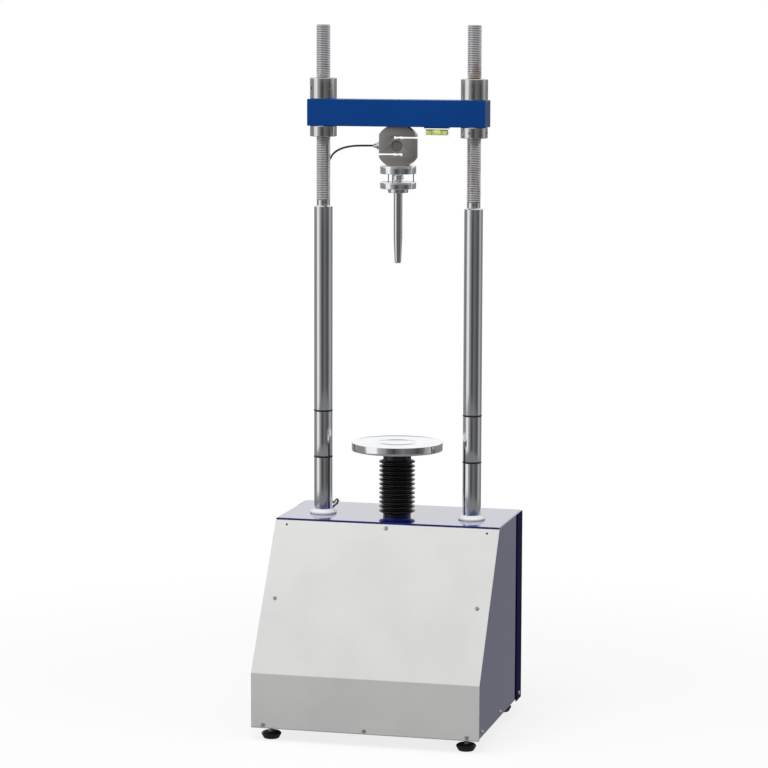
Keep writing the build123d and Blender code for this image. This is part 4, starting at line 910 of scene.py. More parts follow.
@dataclass
class Column:
    """One column: a chromed shank that stands on the top plate, a relief, and a rolled thread above the step."""

    side: str
    stain: float
    shank: float = 16.0 * MM
    tail: float = 12.0 * MM
    tail_height: float = 50.0 * MM
    step_drop: float = 311.0 * MM
    relief: float = 11.5 * MM
    relief_height: float = 9.5 * MM
    crest: float = 12.5 * MM
    root: float = 11.2 * MM
    pitch: float = 3.0 * MM
    chamfer: float = 1.5 * MM
    groove_depth: float = 1.1 * MM
    form: tuple[tuple[float, float], ...] = ((0.0, 0.0), (0.16, 0.0), (0.42, 1.0), (0.72, 1.0), (1.0, 0.0))
    segments: int = 64

    def __post_init__(self) -> None:
        """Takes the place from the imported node."""
        self.node = f"column_{self.side}"
        self.low, self.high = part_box(self.node)
        self.axis = ((self.low.x + self.high.x) / 2, COLUMN_Y)
        self.step = self.high.z - self.step_drop
        self.thread_start = self.step + self.relief_height

    def thread(self) -> np.ndarray:
        """Points of the thread: rows climb one pitch in each turn, and the radius follows the thread's form.

        A row's height is start + pitch * (row + turn / full turn), kept between the thread's two ends. The part of
        a pitch that is left over from height / pitch - turn gives the place on the form, and so the depth. A cone
        cuts the crests off at both ends.
        """
        turns = math.ceil((self.high.z - self.thread_start) / self.pitch) + 1
        places = np.array([place for place, _ in self.form[:-1]])
        rows = (np.arange(-1, turns)[:, None] + places[None, :]).ravel()
        angles = np.linspace(0, TAU, self.segments + 1)
        lift = angles / TAU
        height = self.thread_start + self.pitch * (rows[:, None] + lift[None, :])
        height = np.clip(height, self.thread_start, self.high.z)
        share = ((height - self.thread_start) / self.pitch - lift[None, :]) % 1.0
        depth = np.interp(share, *zip(*self.form))
        radius = self.crest - depth * (self.crest - self.root)
        radius = np.minimum(radius, self.crest - self.chamfer + (self.high.z - height))
        radius = np.minimum(radius, self.relief + (height - self.thread_start))
        x = self.axis[0] + radius * np.cos(angles)
        y = self.axis[1] + radius * np.sin(angles)
        return np.stack((x, y, height), 2)

    def build(self) -> None:
        """Makes the shank with its ring grooves, and the thread with a centre hole in its end."""
        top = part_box("wrap_cover")[1].z
        body = [(0, self.low.z, 0), (self.tail, self.low.z, 0.8 * MM), (self.tail, self.low.z + self.tail_height, 0)]
        body.append((self.shank, self.low.z + self.tail_height, 0.4 * MM))
        for height in Rings.heights:
            for z, deep in ((-1, 0), (-1, 1), (1, 1), (1, 0)):
                radius = self.shank - deep * self.groove_depth
                body.append((radius, top + height + z * Rings.groove / 2, 0 if deep else 0.15 * MM))
        body += [
            (self.shank, self.step - self.chamfer, 0.2 * MM),
            (self.shank - self.chamfer, self.step, 0.2 * MM),
            (self.relief, self.step, 0.5 * MM),
            (self.relief, self.thread_start, 0),
        ]
        shank = Surface().grid(turned(profile(*body), self.axis))
        shank.piece(f"column_shank_{self.side}", CHROME, [self.node])
        end = self.crest - self.chamfer
        hole = profile((end, self.high.z, 0), (2.6 * MM, self.high.z, 0.1 * MM), (0, self.high.z - 2.4 * MM, 0))
        finish = ThreadSteel(f"thread_steel_{self.side}", "chrome", self.axis, self.crest, self.root, self.stain)
        thread = Surface().grid(self.thread(), wrap=False).grid(turned(hole, self.axis, self.segments))
        thread.piece(f"column_thread_{self.side}", finish, [self.node], sharp=60)


@dataclass
class Rings:
    """Rubber rings in the grooves of both columns."""

    heights = (100.0 * MM, 181.0 * MM)
    groove = 3.2 * MM
    inner: float = 14.9 * MM
    outer: float = 16.5 * MM

    def build(self) -> None:
        """Makes the four rings in one piece."""
        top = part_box("wrap_cover")[1].z
        surface = Surface()
        for x in (-COLUMN_X, COLUMN_X):
            for height in self.heights:
                low, high = top + height - self.groove / 2, top + height + self.groove / 2
                line = profile(
                    (self.inner, low, 0),
                    (self.outer, low, 1.3 * MM),
                    (self.outer, high, 1.3 * MM),
                    (self.inner, high, 0),
                )
                surface.grid(turned(line, (x, COLUMN_Y)))
        surface.piece("column_ring_set", FOOT_RUBBER, ["column_rings"])


@dataclass
class Collars:
    """White nylon collars round the feet of the columns."""

    inner: float = 16.05 * MM
    outer: float = 23.3 * MM
    upper: float = 18.5 * MM

    def build(self) -> None:
        """Makes both collars in one piece."""
        low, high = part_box("column_collars")
        surface = Surface()
        for x in (-COLUMN_X, COLUMN_X):
            line = profile(
                (self.inner, low.z, 0),
                (self.outer, low.z, 0.3 * MM),
                (self.outer, low.z + (high.z - low.z) / 3, 0.8 * MM),
                (self.upper, high.z, 0.8 * MM),
                (self.inner, high.z, 0.3 * MM),
                (self.inner, low.z, 0),
            )
            surface.grid(turned(line, (x, COLUMN_Y)))
        surface.piece("collar_pair", NYLON, ["column_collars"])


@dataclass
class RoundNut:
    """A round nut with four blind tommy holes in its wall."""

    node: str
    first_hole: float
    radius: float = 23.2 * MM
    bore: float = 12.65 * MM
    hole: float = 2.25 * MM
    depth: float = 8.0 * MM
    edge: float = 0.8 * MM
    patch: float = 3.4 * MM
    ring_steps: int = 32

    def build(self) -> None:
        """Makes the nut.

        The wall is split into a lower band, an upper band and, between them, square patches round the holes with
        plain grid in between. A patch's rings go from the hole's circle to the square, point by point along the
        same directions, so that its rim meets the grid. The rim's points moved inwards make the hole.
        """
        low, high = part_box(self.node)
        x, y = (low.x + high.x) / 2, (low.y + high.y) / 2
        middle = (low.z + high.z) / 2
        centres = np.radians(self.first_hole - 90 + np.arange(4) * 90)
        spread = self.patch * np.tan(np.radians(np.linspace(-45, 45, self.ring_steps // 4 + 1)))
        reach = self.patch / self.radius
        gap = np.linspace(reach, math.pi / 2 - reach, 17)[1:-1]
        angles = np.concatenate([np.concatenate((centre + spread / self.radius, centre + gap)) for centre in centres])
        surface = Surface()
        lower = profile(
            (self.radius, middle - self.patch, 0),
            (self.radius, low.z + self.edge, 0.25 * MM),
            (self.radius - self.edge, low.z, 0.25 * MM),
            (self.bore + 1.4 * MM, low.z, 0.15 * MM),
            (self.bore, low.z + 1.4 * MM, 0.15 * MM),
            (self.bore, high.z - 1.4 * MM, 0.15 * MM),
            (self.bore + 1.4 * MM, high.z, 0.15 * MM),
            (self.radius - self.edge, high.z, 0.25 * MM),
            (self.radius, high.z - self.edge, 0.25 * MM),
            (self.radius, middle + self.patch, 0),
        )
        surface.grid(turned(lower, (x, y), angles))
        band = np.column_stack((np.full(len(spread), self.radius), middle + spread))
        turn = np.linspace(0, TAU, self.ring_steps, endpoint=False) + math.pi / 4
        round_line = np.column_stack((np.cos(turn), np.sin(turn)))
        square_line = round_line / np.abs(round_line).max(1, keepdims=True)
        steps = (0.0, 0.12, 0.45, 1.0)
        rim = self.hole + 0.25 * MM
        for centre in centres:
            between = centre + np.concatenate(([reach], gap, [math.pi / 2 - reach]))
            surface.grid(turned(band, (x, y), between), wrap=False)
            rings = [square_line * self.patch * step + round_line * rim * (1 - step) for step in reversed(steps)]
            flat = np.array(rings)
            angle = centre + flat[..., 0] / self.radius
            wall = np.stack(
                (x + self.radius * np.cos(angle), y + self.radius * np.sin(angle), middle + flat[..., 1]), 2
            )
            inwards = np.array((-math.cos(centre), -math.sin(centre), 0.0))
            axis_point = np.array((x, y, middle)) - inwards * self.radius
            edge = wall[-1]
            across = edge - axis_point
            narrow = axis_point + across * (self.hole / rim)
            hole = [
                narrow + inwards * 0.3 * MM,
                narrow + inwards * self.depth,
                np.broadcast_to(axis_point + inwards * (self.depth + 1.2 * MM), edge.shape),
            ]
            surface.grid(np.concatenate((wall, np.array(hole))))
        surface.piece(
            f"{self.node}_turned", TurnedSteel(f"{self.node}_steel", "chrome", (x, y), roughness=0.1), [self.node]
        )


@dataclass
class LoadTrain:
    """What hangs under the crosshead: S-type cell, ball seat between two discs, and the ram."""

    cell_disc: float = 37.5 * MM
    cell_half_width: float = 32.0 * MM
    cell_half_height: float = 33.5 * MM
    cell_thickness: float = 19.0 * MM
    bore: float = 9.5 * MM
    slot_offset: float = 14.4 * MM
    slot_half: float = 1.65 * MM
    slot_reach: float = 9.6 * MM
    keyhole: float = 3.3 * MM
    keyhole_offset: float = 5.6 * MM
    disc: float = 31.0 * MM
    screw: float = 1.25 * MM
    screw_circle: float = 26.6 * MM
    screw_angle: float = 23.0
    flange: float = 17.5 * MM
    rod: float = 7.5 * MM
    tip: float = 5.5 * MM
    taper: float = 46.0 * MM

    def slot_side(self) -> np.ndarray:
        """Lower side of the upper slot, from its mouth at the right to its closed end, with both keyholes."""
        v = self.slot_offset - self.slot_half
        swing = math.degrees(math.asin(self.slot_half / self.keyhole))
        holes = [
            arc((u, self.slot_offset), self.keyhole, -swing, -180 + swing)
            for u in (self.keyhole_offset, -self.keyhole_offset)
        ]
        mouth = np.array([[self.cell_half_width, v]])
        end = np.array([[-self.slot_reach, v]])
        return np.concatenate((mouth, *holes, end))

    def cell_outline(self) -> np.ndarray:
        """Outline of the cell: a disc cut square, with a slot from each side; one half mirrors the other."""
        corner = math.degrees(math.acos(self.cell_half_width / self.cell_disc))
        top = math.degrees(math.asin(self.cell_half_height / self.cell_disc))
        lower = self.slot_side()
        upper = lower[::-1] * (1, -1) + (0, 2 * self.slot_offset)
        start = arc((0, 0), self.cell_disc, -corner, -corner, 0)
        right = arc((0, 0), self.cell_disc, corner, top, 10)
        left = arc((0, 0), self.cell_disc, 180 - top, 180 - corner, 10)[:-1]
        half = np.concatenate((start, lower, upper, right, left))
        return np.concatenate((half, -half))

    def build_cell(self) -> None:
        """Makes the cell."""
        middle = centre_of("load_cell").z
        surface = Surface()
        surface.plate(
            [self.cell_outline(), circle(self.bore, steps=-72)],
            upright_place(middle),
            self.cell_thickness,
            0.5 * MM,
        )
        surface.piece("load_cell_body", CELL_STEEL, ["load_cell"])

    def build_discs(self) -> None:
        """Makes the two seat discs with their screw holes."""
        angles = np.radians(self.screw_angle + np.arange(3) * 120)
        for node, hole in (("upper_seat_disc", self.screw), ("lower_seat_disc", self.screw + 1.1 * MM)):
            low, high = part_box(node)
            top = min(high.z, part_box("load_cell")[0].z)
            holes = [
                circle(hole, (self.screw_circle * math.cos(a), self.screw_circle * math.sin(a)), -24) for a in angles
            ]
            surface = Surface()
            surface.plate([circle(self.disc), *holes], level_place((low.z + top) / 2), top - low.z, 0.8 * MM)
            surface.piece(f"{node}_turned", POLISHED, [node])

    def build_screws(self) -> None:
        """Makes the three long screws, threaded along their whole length, with socket heads below."""
        low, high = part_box("seat_screws")
        head_top = low.z + 2.0 * MM
        turns = np.arange(head_top, high.z - 0.25 * MM, 0.5 * MM)
        ridges = np.stack((turns, turns + 0.25 * MM), 1).ravel()
        radii = np.tile((self.screw, self.screw - 0.22 * MM), len(turns))
        head = profile(
            (0, low.z + 1.2 * MM, 0),
            (1.2 * MM, low.z + 1.2 * MM, 0),
            (1.2 * MM, low.z, 0.1 * MM),
            (2.4 * MM, low.z, 0.3 * MM),
            (2.4 * MM, head_top, 0.1 * MM),
            (self.screw, head_top, 0),
        )
        line = np.concatenate((head, np.column_stack((radii, ridges)), [[0, high.z]]))
        surface = Surface()
        for angle in np.radians(self.screw_angle + np.arange(3) * 120):
            axis = (self.screw_circle * math.cos(angle), COLUMN_Y + self.screw_circle * math.sin(angle))
            surface.grid(turned(line, axis, 20))
        surface.piece("seat_screw_set", INNER_STEEL, ["seat_screws"], sharp=50)

    def build_ball(self) -> None:
        """Makes the ball."""
        low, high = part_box("seat_ball")
        radius = (high.z - low.z) / 2
        line = arc((0, (low.z + high.z) / 2), radius, -90, 90, 36)
        line[[0, -1], 0] = 0
        Surface().grid(turned(line, CENTRE, 64)).piece("seat_ball_ground", POLISHED, ["seat_ball"])

    def build_ram(self) -> None:
        """Makes the ram: a flange, a rod and a tapered, rounded tip."""
        low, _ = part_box("loading_ram")
        flange_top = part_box("lower_seat_disc")[0].z
        flange_bottom = flange_top - 7.0 * MM
        line = profile(
            (0, low.z, 0),
            (self.tip, low.z, 3.0 * MM),
            (self.rod, low.z + self.taper, 30.0 * MM),
            (self.rod, flange_bottom, 0.6 * MM),
            (self.flange, flange_bottom, 0.8 * MM),
            (self.flange, flange_top, 0.8 * MM),
            (0, flange_top, 0),
            steps=8,
        )
        Surface().grid(turned(line, CENTRE)).piece("loading_ram_ground", RAM_STEEL, ["loading_ram"])

    def build(self) -> None:
        """Makes the whole train."""
        self.build_cell()
        self.build_discs()
        self.build_screws()
        self.build_ball()
        self.build_ram()


@dataclass
class Platen:
    """Ground platen with its locating groove, and the bellows that hides the lead screw."""

    radius: float = 79.0 * MM
    thickness: float = 14.0 * MM
    groove_outer: float = 32.3 * MM
    groove_inner: float = 29.0 * MM
    groove_depth: float = 1.2 * MM
    spigot: float = 21.7 * MM
    spigot_height: float = 6.0 * MM
    crest: float = 32.0 * MM
    root: float = 24.3 * MM
    folds: int = 12
    fold_pitch: float = 7.85 * MM
    fold_round: float = 1.1 * MM
    cuff: float = 16.4 * MM

    def build(self) -> None:
        """Makes the platen and the bellows."""
        _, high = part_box("platen")
        top, bottom = high.z, high.z - self.thickness
        line = profile(
            (0, bottom - self.spigot_height, 0),
            (self.spigot, bottom - self.spigot_height, 0.3 * MM),
            (self.spigot, bottom, 0.3 * MM),
            (self.radius, bottom, 0.7 * MM),
            (self.radius, top, 0.7 * MM),
            (self.groove_outer, top, 0.15 * MM),
            (self.groove_outer, top - self.groove_depth, 0.2 * MM),
            (self.groove_inner, top - self.groove_depth, 0.2 * MM),
            (self.groove_inner, top, 0.15 * MM),
            (0, top, 0),
        )
        Surface().grid(turned(line, CENTRE, 160)).piece("platen_ground", POLISHED, ["platen"])
        self.build_bellows(bottom)

    def build_bellows(self, top: float) -> None:
        """Makes the bellows between the cabinet and the platen's underside.

        Each fold's corners stand out past the true crest and root by round * (1 / sin(half angle) - 1), so that
        the rounded folds reach them.
        """
        low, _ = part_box("bellows")
        half_angle = math.atan2(self.fold_pitch / 2, self.crest - self.root)
        past = self.fold_round * (1 / math.sin(half_angle) - 1)
        start = top - self.cuff - self.folds * self.fold_pitch
        corners = [(self.root - 1.6 * MM, low.z, 0), (self.root, low.z, 0.4 * MM), (self.root, start, 0.6 * MM)]
        for fold in range(self.folds):
            middle = start + (fold + 0.5) * self.fold_pitch
            corners.append((self.crest + past, middle, self.fold_round))
            inner = self.root - past if fold < self.folds - 1 else self.root
            corners.append((inner, start + (fold + 1) * self.fold_pitch, self.fold_round))
        corners += [(self.root, top, 0.4 * MM), (self.root - 1.6 * MM, top, 0)]
        surface = Surface().grid(turned(profile(*corners), CENTRE))
        folds = surface.piece("bellows_folds", BELLOWS_RUBBER, ["bellows"], sharp=60)
        folds.parent = None
        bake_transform(folds)


@dataclass
class CoverScrews:
    """Pan-head screws of the covers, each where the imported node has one."""

    radius: float = 3.75 * MM
    height: float = 2.4 * MM
    slot_half: float = 0.5 * MM
    slot_reach: float = 2.0 * MM
    slot_depth: float = 1.3 * MM

    def places(self) -> list[tuple[Vector, Vector]]:
        """Middle and outward direction of each head: its end is the largest flat face of each loose piece."""
        work = bmesh.new()
        work.from_mesh(frame["nodes"]["cover_screws"].data)
        bmesh.ops.remove_doubles(work, verts=work.verts, dist=1e-6)
        bmesh.ops.dissolve_limit(work, angle_limit=math.radians(1), verts=work.verts, edges=work.edges)
        heads = [face for face in work.faces if face.calc_area() > 0.9 * math.pi * self.radius**2]
        found = [(face.calc_center_median(), face.normal.copy()) for face in heads]
        work.free()
        return found

    def head(self) -> np.ndarray:
        """Points (u, v, w) of a head: a dome into which two crossed slots sink, deepest in the middle."""
        angles = np.arange(48) * TAU / 48
        radii = np.array([0, 0.25, 0.45, 0.6, 0.8, 1.1, 1.5, 1.9, 2.2, 2.6, 3.1, 3.45, 3.65, 3.75, 3.75]) * MM
        radii *= self.radius / radii[-1]
        u, v = radii[:, None] * np.cos(angles), radii[:, None] * np.sin(angles)
        share = radii / self.radius
        dome = self.height * (0.28 + 0.72 * np.sqrt(np.maximum(0, 1 - share**2.6)))
        dome[-1] = 0.0
        across = np.minimum(np.abs(u), np.abs(v))
        along = np.maximum(np.abs(u), np.abs(v))
        inside = np.clip((self.slot_half - across) / (0.25 * MM) + 0.5, 0, 1)
        inside = inside * np.clip((self.slot_reach - along) / (0.3 * MM) + 0.5, 0, 1)
        w = dome[:, None] - inside * self.slot_depth * (1 - 0.3 * along / self.slot_reach)
        return np.stack((u, v, w), 2)

    def build(self) -> None:
        """Makes all screws in one piece, each recess turned its own way."""
        shape = self.head()
        surface = Surface()
        places = self.places()
        LOG.info("%d cover screws", len(places))
        for index, (middle, outward) in enumerate(places):
            turn = outward.to_track_quat("Z", "X").to_matrix() @ Matrix.Rotation(index * 1.1, 3, "Z")
            base = np.array(middle - outward * self.height)
            surface.grid(shape @ np.array(turn).T + base)
        surface.piece("cover_screw_set", ZINC, ["cover_screws"])


@dataclass
class Foot:
    """Levelling foot: a rubber pad moulded on a threaded stud."""

    node: str
    pad: float = 17.0 * MM
    sole: float = 13.5 * MM
    pad_height: float = 11.5 * MM
    stud: float = 4.0 * MM
    pitch: float = 1.25 * MM

    def build(self) -> None:
        """Makes the pad and the stud."""
        low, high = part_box(self.node)
        axis = ((low.x + high.x) / 2, (low.y + high.y) / 2)
        pad = profile(
            (0, low.z, 0),
            (self.sole - 1.0 * MM, low.z, 0.6 * MM),
            (self.sole, low.z + 1.0 * MM, 0.6 * MM),
            (self.pad, low.z + 7.5 * MM, 1.6 * MM),
            (self.pad, low.z + 9.0 * MM, 1.0 * MM),
            (self.pad - 3.0 * MM, low.z + self.pad_height, 1.0 * MM),
            (0, low.z + self.pad_height, 0),
        )
        Surface().grid(turned(pad, axis, 72)).piece(f"{self.node}_pad", FOOT_RUBBER, [self.node])
        turns = np.arange(low.z + self.pad_height, high.z - self.pitch, self.pitch)
        ridges = (turns[:, None] + np.array([0.1, 0.5, 0.6]) * self.pitch).ravel()
        radii = np.tile((self.stud, self.stud - 0.7 * MM, self.stud - 0.7 * MM), len(turns))
        line = np.concatenate(
            ([[0, low.z + self.pad_height - 1 * MM], [self.stud, low.z + self.pad_height - 1 * MM]],
             np.column_stack((radii, ridges)), [[self.stud - 1 * MM, high.z], [0, high.z]])
        )
        Surface().grid(turned(line, axis, 32)).piece(f"{self.node}_stud", ZINC, [self.node], sharp=50)


@dataclass
class Level:
    """Bubble level: a vial of bright liquid with a bubble and two marks, in a clear block."""

    vial: float = 4.6 * MM
    mark: float = 4.75 * MM

    def along(self, line: np.ndarray, centre: Vector, steps: int = 48) -> np.ndarray:
        """A profile of (radius, place) turned about the level's long axis through a point."""
        grid = turned(line, (0.0, 0.0), steps)
        return np.stack((grid[..., 2] + centre.x, grid[..., 0] + centre.y, grid[..., 1] + centre.z), 2)

    def build(self) -> None:
        """Makes the liquid, the bubble and the marks."""
        low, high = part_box("level_vial")
        centre = (low + high) / 2
        half = (high.x - low.x) / 2 - 0.6 * MM
        line = profile((0, -half, 0), (self.vial, -half, 1.5 * MM), (self.vial, half, 1.5 * MM), (0, half, 0))
        Surface().grid(self.along(line, centre)).piece("level_liquid", VIAL, ["level_vial"])
        bubble_line = arc((0, 0), 1.0, -90, 90, 24) * (2.3 * MM, 7.0 * MM)
        bubble_line[[0, -1], 0] = 0
        place = centre + Vector((0.5 * MM, 0, self.vial - 2.0 * MM))
        bubble = Surface().grid(self.along(bubble_line, place))
        bubble.piece("level_bubble", BUBBLE, ["level_vial"], hides=False)
        marks = Surface()
        for x in (-8.5 * MM, 8.5 * MM):
            band = profile(
                (self.vial - 0.1 * MM, x - 0.35 * MM, 0), (self.mark, x - 0.35 * MM, 0), (self.mark, x + 0.35 * MM, 0),
                (self.vial - 0.1 * MM, x + 0.35 * MM, 0),
            )
            marks.grid(self.along(band, centre))
        marks.piece("level_marks", BLACK_PLASTIC, ["level_vial"], hides=False)


@dataclass
class CellCable:
    """The load cell's cable: out of the gland, down behind the left column, and over the top to its plug."""

    diameter: float = 3.5 * MM
    length: float = 0.8569
    route: list[tuple[float, float, float]] = field(
        default_factory=lambda: [
            (-43.4, 0.0, 642.5),
            (-64.0, 0.0, 642.5),
            (-86.0, 5.0, 641.0),
            (-107.0, 16.5, 636.0),
            (-124.5, 27.0, 626.0),
            (-135.0, 33.0, 606.0),
            (-137.0, 35.0, 575.0),
            (-136.5, 35.5, 530.0),
            (-136.0, 35.5, 478.0),
            (-136.0, 36.0, 420.0),
            (-136.0, 36.0, 362.0),
            (-136.0, 36.5, 304.0),
            (-136.0, 37.5, 246.0),
            (-136.0, 39.0, 188.0),
            (-135.5, 40.5, 131.0),
            (-135.5, 43.5, 80.0),
            (-135.7, 50.0, 40.0),
            (-136.2, 64.0, 12.0),
            (-137.3, 84.0, 3.0),
            (-139.2, 104.0, 3.6),
            (-140.5, 124.0, 5.05),
            (-141.0, 141.0, -12.0),
            (-141.0, 142.0, -44.5),
            (-141.0, 142.0, -76.5),
        ]
    )

    def build(self) -> bpy.types.Object:
        """Makes the cable on a smooth spline through its route, counted from the columns and the cabinet's top."""
        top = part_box("wrap_cover")[1].z
        points = [(x * MM, COLUMN_Y + y * MM, top + z * MM) for x, y, z in self.route]
        curve = bpy.data.curves.new("cell_cable_line", "CURVE")
        curve.dimensions = "3D"
        curve.resolution_u = 8
        spline = curve.splines.new("NURBS")
        spline.points.add(len(points) - 1)
        for point, place in zip(spline.points, points):
            point.co = (*place, 1.0)
        spline.order_u = 3
        spline.use_endpoint_u = True
        guide = bpy.data.objects.new("cell_cable_line", curve)
        path = [tuple(vertex.co) for vertex in bpy.data.meshes.new_from_object(guide).vertices]
        curve.bevel_depth = self.diameter / 2
        curve.bevel_resolution = 3
        curve.use_fill_caps = True
        mesh = bpy.data.meshes.new_from_object(guide)
        mesh.shade_smooth()
        bpy.data.objects.remove(guide)
        cable = bpy.data.objects.new("cell_cable", mesh)
        bpy.context.scene.collection.objects.link(cable)
        mesh.materials.clear()
        mesh.materials.append(CABLE_JACKET.material())
        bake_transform(cable)
        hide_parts("load_cell_cable")
        return cable


# Studio


@dataclass
class Studio:
    """Floor, lamps, surroundings and the camera at the photograph's viewing angle."""

    azimuth: float = math.radians(14.06)
    elevation: float = math.radians(7.21)
    roll: float = math.radians(0.167)
    distance: float = 5.137
    lens: float = 138.86
    sensor: float = 36.0
    target: Vector = field(default_factory=lambda: Vector((-0.0240, COLUMN_Y, 0.5883)))
    floor_radius: float = 2.0
    floor_fade: tuple[float, float] = (0.55, 1.5)
    floor_white: float = 0.82
    floor_bounce: float = 0.35
    floor_mirrored: float = 0.24
    ambient: float = 0.37
    low_bands: tuple[tuple[float, float], ...] = (
        (-180, 0.34), (-150, 0.34), (-131, 0.28), (-108, 0.26), (-92, 0.28), (-82, 0.92), (-57, 0.98), (-48, 0.42),
        (-34, 0.30), (-22, 0.12), (-9, 0.06), (0, 0.11), (14, 0.18), (26, 0.14), (39, 0.12), (52, 0.07),
        (66, 0.12), (80, 0.34), (97, 0.50), (110, 0.24), (130, 0.25), (150, 0.24), (180, 0.34),
    )
    high_bands: tuple[tuple[float, float], ...] = (
        (-180, 1.0), (-120, 1.0), (-92, 0.70), (-82, 0.95), (-57, 0.98), (-46, 0.45), (-20, 0.30), (0, 0.22),
        (40, 0.22), (60, 0.30), (80, 0.50), (100, 0.75), (120, 1.0), (180, 1.0),
    )

    def facing(self) -> tuple[Vector, Vector, Vector]:
        """Right, up and back of the camera, rolled about its view."""
        sin_a, cos_a = math.sin(self.azimuth), math.cos(self.azimuth)
        sin_e, cos_e = math.sin(self.elevation), math.cos(self.elevation)
        back = Vector((sin_a * cos_e, -cos_a * cos_e, sin_e))
        right = Vector((cos_a, sin_a, 0.0))
        up = back.cross(right)
        cos_r, sin_r = math.cos(self.roll), math.sin(self.roll)
        return right * cos_r + up * sin_r, up * cos_r - right * sin_r, back

    def camera(self) -> None:
        """Makes the camera."""
        right, up, back = self.facing()
        data = bpy.data.cameras.new("camera")
        data.lens = self.lens
        data.sensor_width = self.sensor
        data.clip_end = 60.0
        camera = bpy.data.objects.new("camera", data)
        turn = Matrix((right, up, back)).transposed().to_4x4()
        camera.matrix_world = Matrix.Translation(self.target + back * self.distance) @ turn
        bpy.context.scene.collection.objects.link(camera)
        bpy.context.scene.camera = camera

    def floor(self) -> None:
        """Makes a round pale floor that fades into the white background."""
        angles = np.arange(96) * TAU / 96
        radii = np.array([0.0, 0.3, 0.8, 1.4, self.floor_radius])
        grid = turned(np.column_stack((radii, np.zeros(5))), (0.0, 0.0), angles)
        surface = Surface().grid(grid)
        mesh = bpy.data.meshes.new("floor")
        mesh.from_pydata(np.concatenate(surface.points), [], surface.faces)
        floor = bpy.data.objects.new("floor", mesh)
        bpy.context.scene.collection.objects.link(floor)
        material = bpy.data.materials.new("floor_white")
        graph = Graph(material)
        x, y, _ = graph.coordinates(graph.place())
        far = ((x * x + y * y) ** 0.5).step(*self.floor_fade)
        path = graph.node("ShaderNodeLightPath")
        seen = graph.signal(path, "Is Camera Ray").math("ADD", graph.signal(path, "Is Transmission Ray"), clamp=True)
        tone = graph.mix(seen, grey(self.floor_bounce), grey(0.95))
        diffuse = graph.node("ShaderNodeBsdfDiffuse", None, {"Color": tone})
        white = graph.node("ShaderNodeEmission", None, {"Color": grey(1.0), "Strength": 1.0})
        mirrored = graph.node("ShaderNodeEmission", None, {"Color": grey(1.0), "Strength": self.floor_mirrored})
        share = (far * (1 - self.floor_white) + self.floor_white) * seen
        faded = graph.node("ShaderNodeMixShader", None, {0: share, 1: diffuse.outputs[0], 2: white.outputs[0]})
        mixed = graph.node(
            "ShaderNodeMixShader",
            None,
            {0: graph.signal(path, "Is Glossy Ray"), 1: faded.outputs[0], 2: mirrored.outputs[0]},
        )
        graph.node("ShaderNodeOutputMaterial", None, {"Surface": mixed.outputs[0]})
        mesh.materials.append(material)

    def band(self, graph: Graph, place: Signal, stops: tuple[tuple[float, float], ...]) -> Signal:
        """Brightness of the surroundings round the horizon, from stops (degrees, level)."""
        ramp = graph.node(
            "ShaderNodeValToRGB",
            {"interpolation": "EASE", "stops": [((angle + 180) / 360, (level,) * 3) for angle, level in stops]},
            {"Fac": place},
        )
        return graph.signal(ramp)

    def surroundings(self) -> None:
        """Wires the world: white behind, plain light on matt surfaces, and softboxes in glossy ones."""
        world = bpy.data.worlds.new("studio")
        bpy.context.scene.world = world
        graph = Graph(world)
        direction = graph.node("ShaderNodeTexCoord").outputs["Generated"]
        x, y, z = graph.coordinates(direction)
        sin_a, cos_a = math.sin(self.azimuth), math.cos(self.azimuth)
        across = x * cos_a + y * sin_a
        towards = x * sin_a - y * cos_a
        turn = across.math("ARCTAN2", towards) / TAU + 0.5
        low = self.band(graph, turn, self.low_bands)
        high = self.band(graph, turn, self.high_bands)
        upper = z.step(0.0, 0.10)
        level = low * (1 - upper) + high * upper
        zenith = z.step(0.45, 0.85)
        glossy_level = level * (1 - zenith) + zenith * 0.9
        path = graph.node("ShaderNodeLightPath")
        glossy = graph.signal(path, "Is Glossy Ray")
        seen = graph.signal(path, "Is Camera Ray").math("ADD", graph.signal(path, "Is Transmission Ray"), clamp=True)
        plain = (1 - glossy) * self.ambient + glossy * glossy_level
        strength = plain * (1 - seen) + seen
        background = graph.node("ShaderNodeBackground", None, {"Color": grey(1.0), "Strength": strength})
        graph.node("ShaderNodeOutputWorld", None, {"Surface": background.outputs[0]})

    def lamp(self, name: str, place: Vector, aim: Vector, size: float, energy: float) -> None:
        """Makes a square soft lamp that matt surfaces see and glossy ones don't."""
        data = bpy.data.lights.new(name, "AREA")
        data.shape = "SQUARE"
        data.size = size
        data.energy = energy
        lamp = bpy.data.objects.new(name, data)
        lamp.location = place
        lamp.rotation_euler = (aim - place).to_track_quat("-Z", "Y").to_euler()
        lamp.visible_glossy = False
        lamp.visible_transmission = False
        bpy.context.scene.collection.objects.link(lamp)

    def lamps(self) -> None:
        """Makes the lamps: one large above the front, one at each side."""
        middle = Vector((0.0, 0.0, 0.5))
        self.lamp("overhead_lamp", Vector((-0.3, -1.35, 3.1)), middle, 2.0, 61.0)
        self.lamp("left_lamp", Vector((-2.8, -1.2, 2.2)), middle, 1.6, 10.0)
        self.lamp("right_lamp", Vector((2.8, -0.8, 2.0)), middle, 1.4, 15.0)

    def build(self) -> None:
        """Makes the whole studio."""
        self.camera()
        self.floor()
        self.surroundings()
        self.lamps()
        bpy.context.scene.view_settings.view_transform = "Standard"


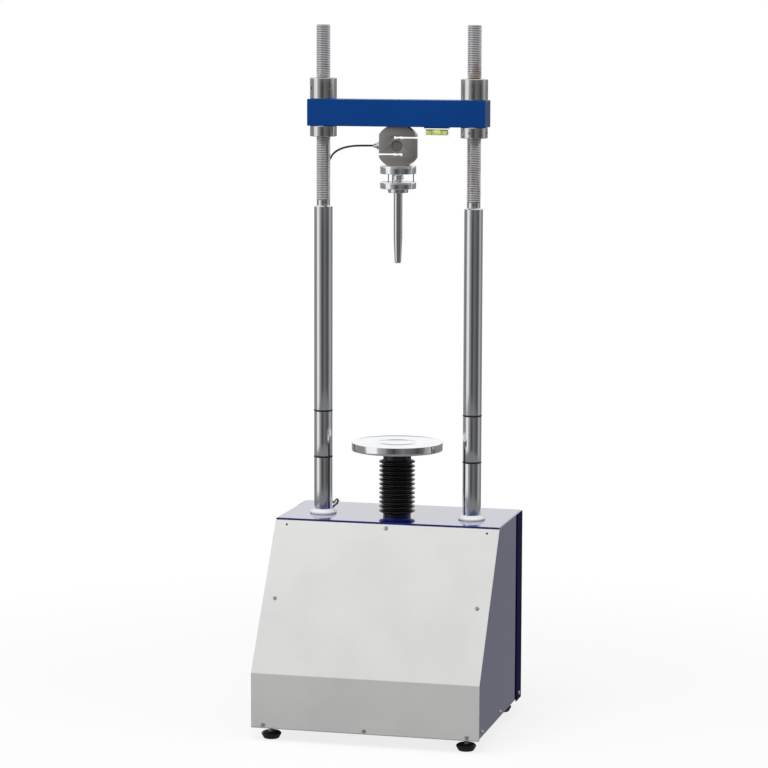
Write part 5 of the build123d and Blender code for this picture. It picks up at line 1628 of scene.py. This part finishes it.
def main() -> None:
    """Builds the pieces in order."""
    logging.basicConfig(level=logging.INFO, format="%(name)s: %(message)s")
    Studio().build()
    CellCable().build()
    for node, finish in CAD_FINISHES.items():
        dress(node, finish)
    softened("crosshead", BEAM_BLUE, 1.0 * MM, 3)
    for node in ("front_cover", "wrap_cover", "rear_cover"):
        softened(node, CAD_FINISHES[node], 0.35 * MM)
    Column("left", 0.35).build()
    Column("right", 1.0).build()
    Rings().build()
    Collars().build()
    for node, first_hole in (
        ("upper_nut_left", 41), ("upper_nut_right", 2), ("lower_nut_left", 21), ("lower_nut_right", -9)
    ):
        RoundNut(node, first_hole).build()
    LoadTrain().build()
    Platen().build()
    CoverScrews().build()
    Level().build()
    for place in ("front_left", "front_right", "rear_left", "rear_right"):
        Foot(f"foot_{place}").build()


if __name__ == "__main__":
    main()
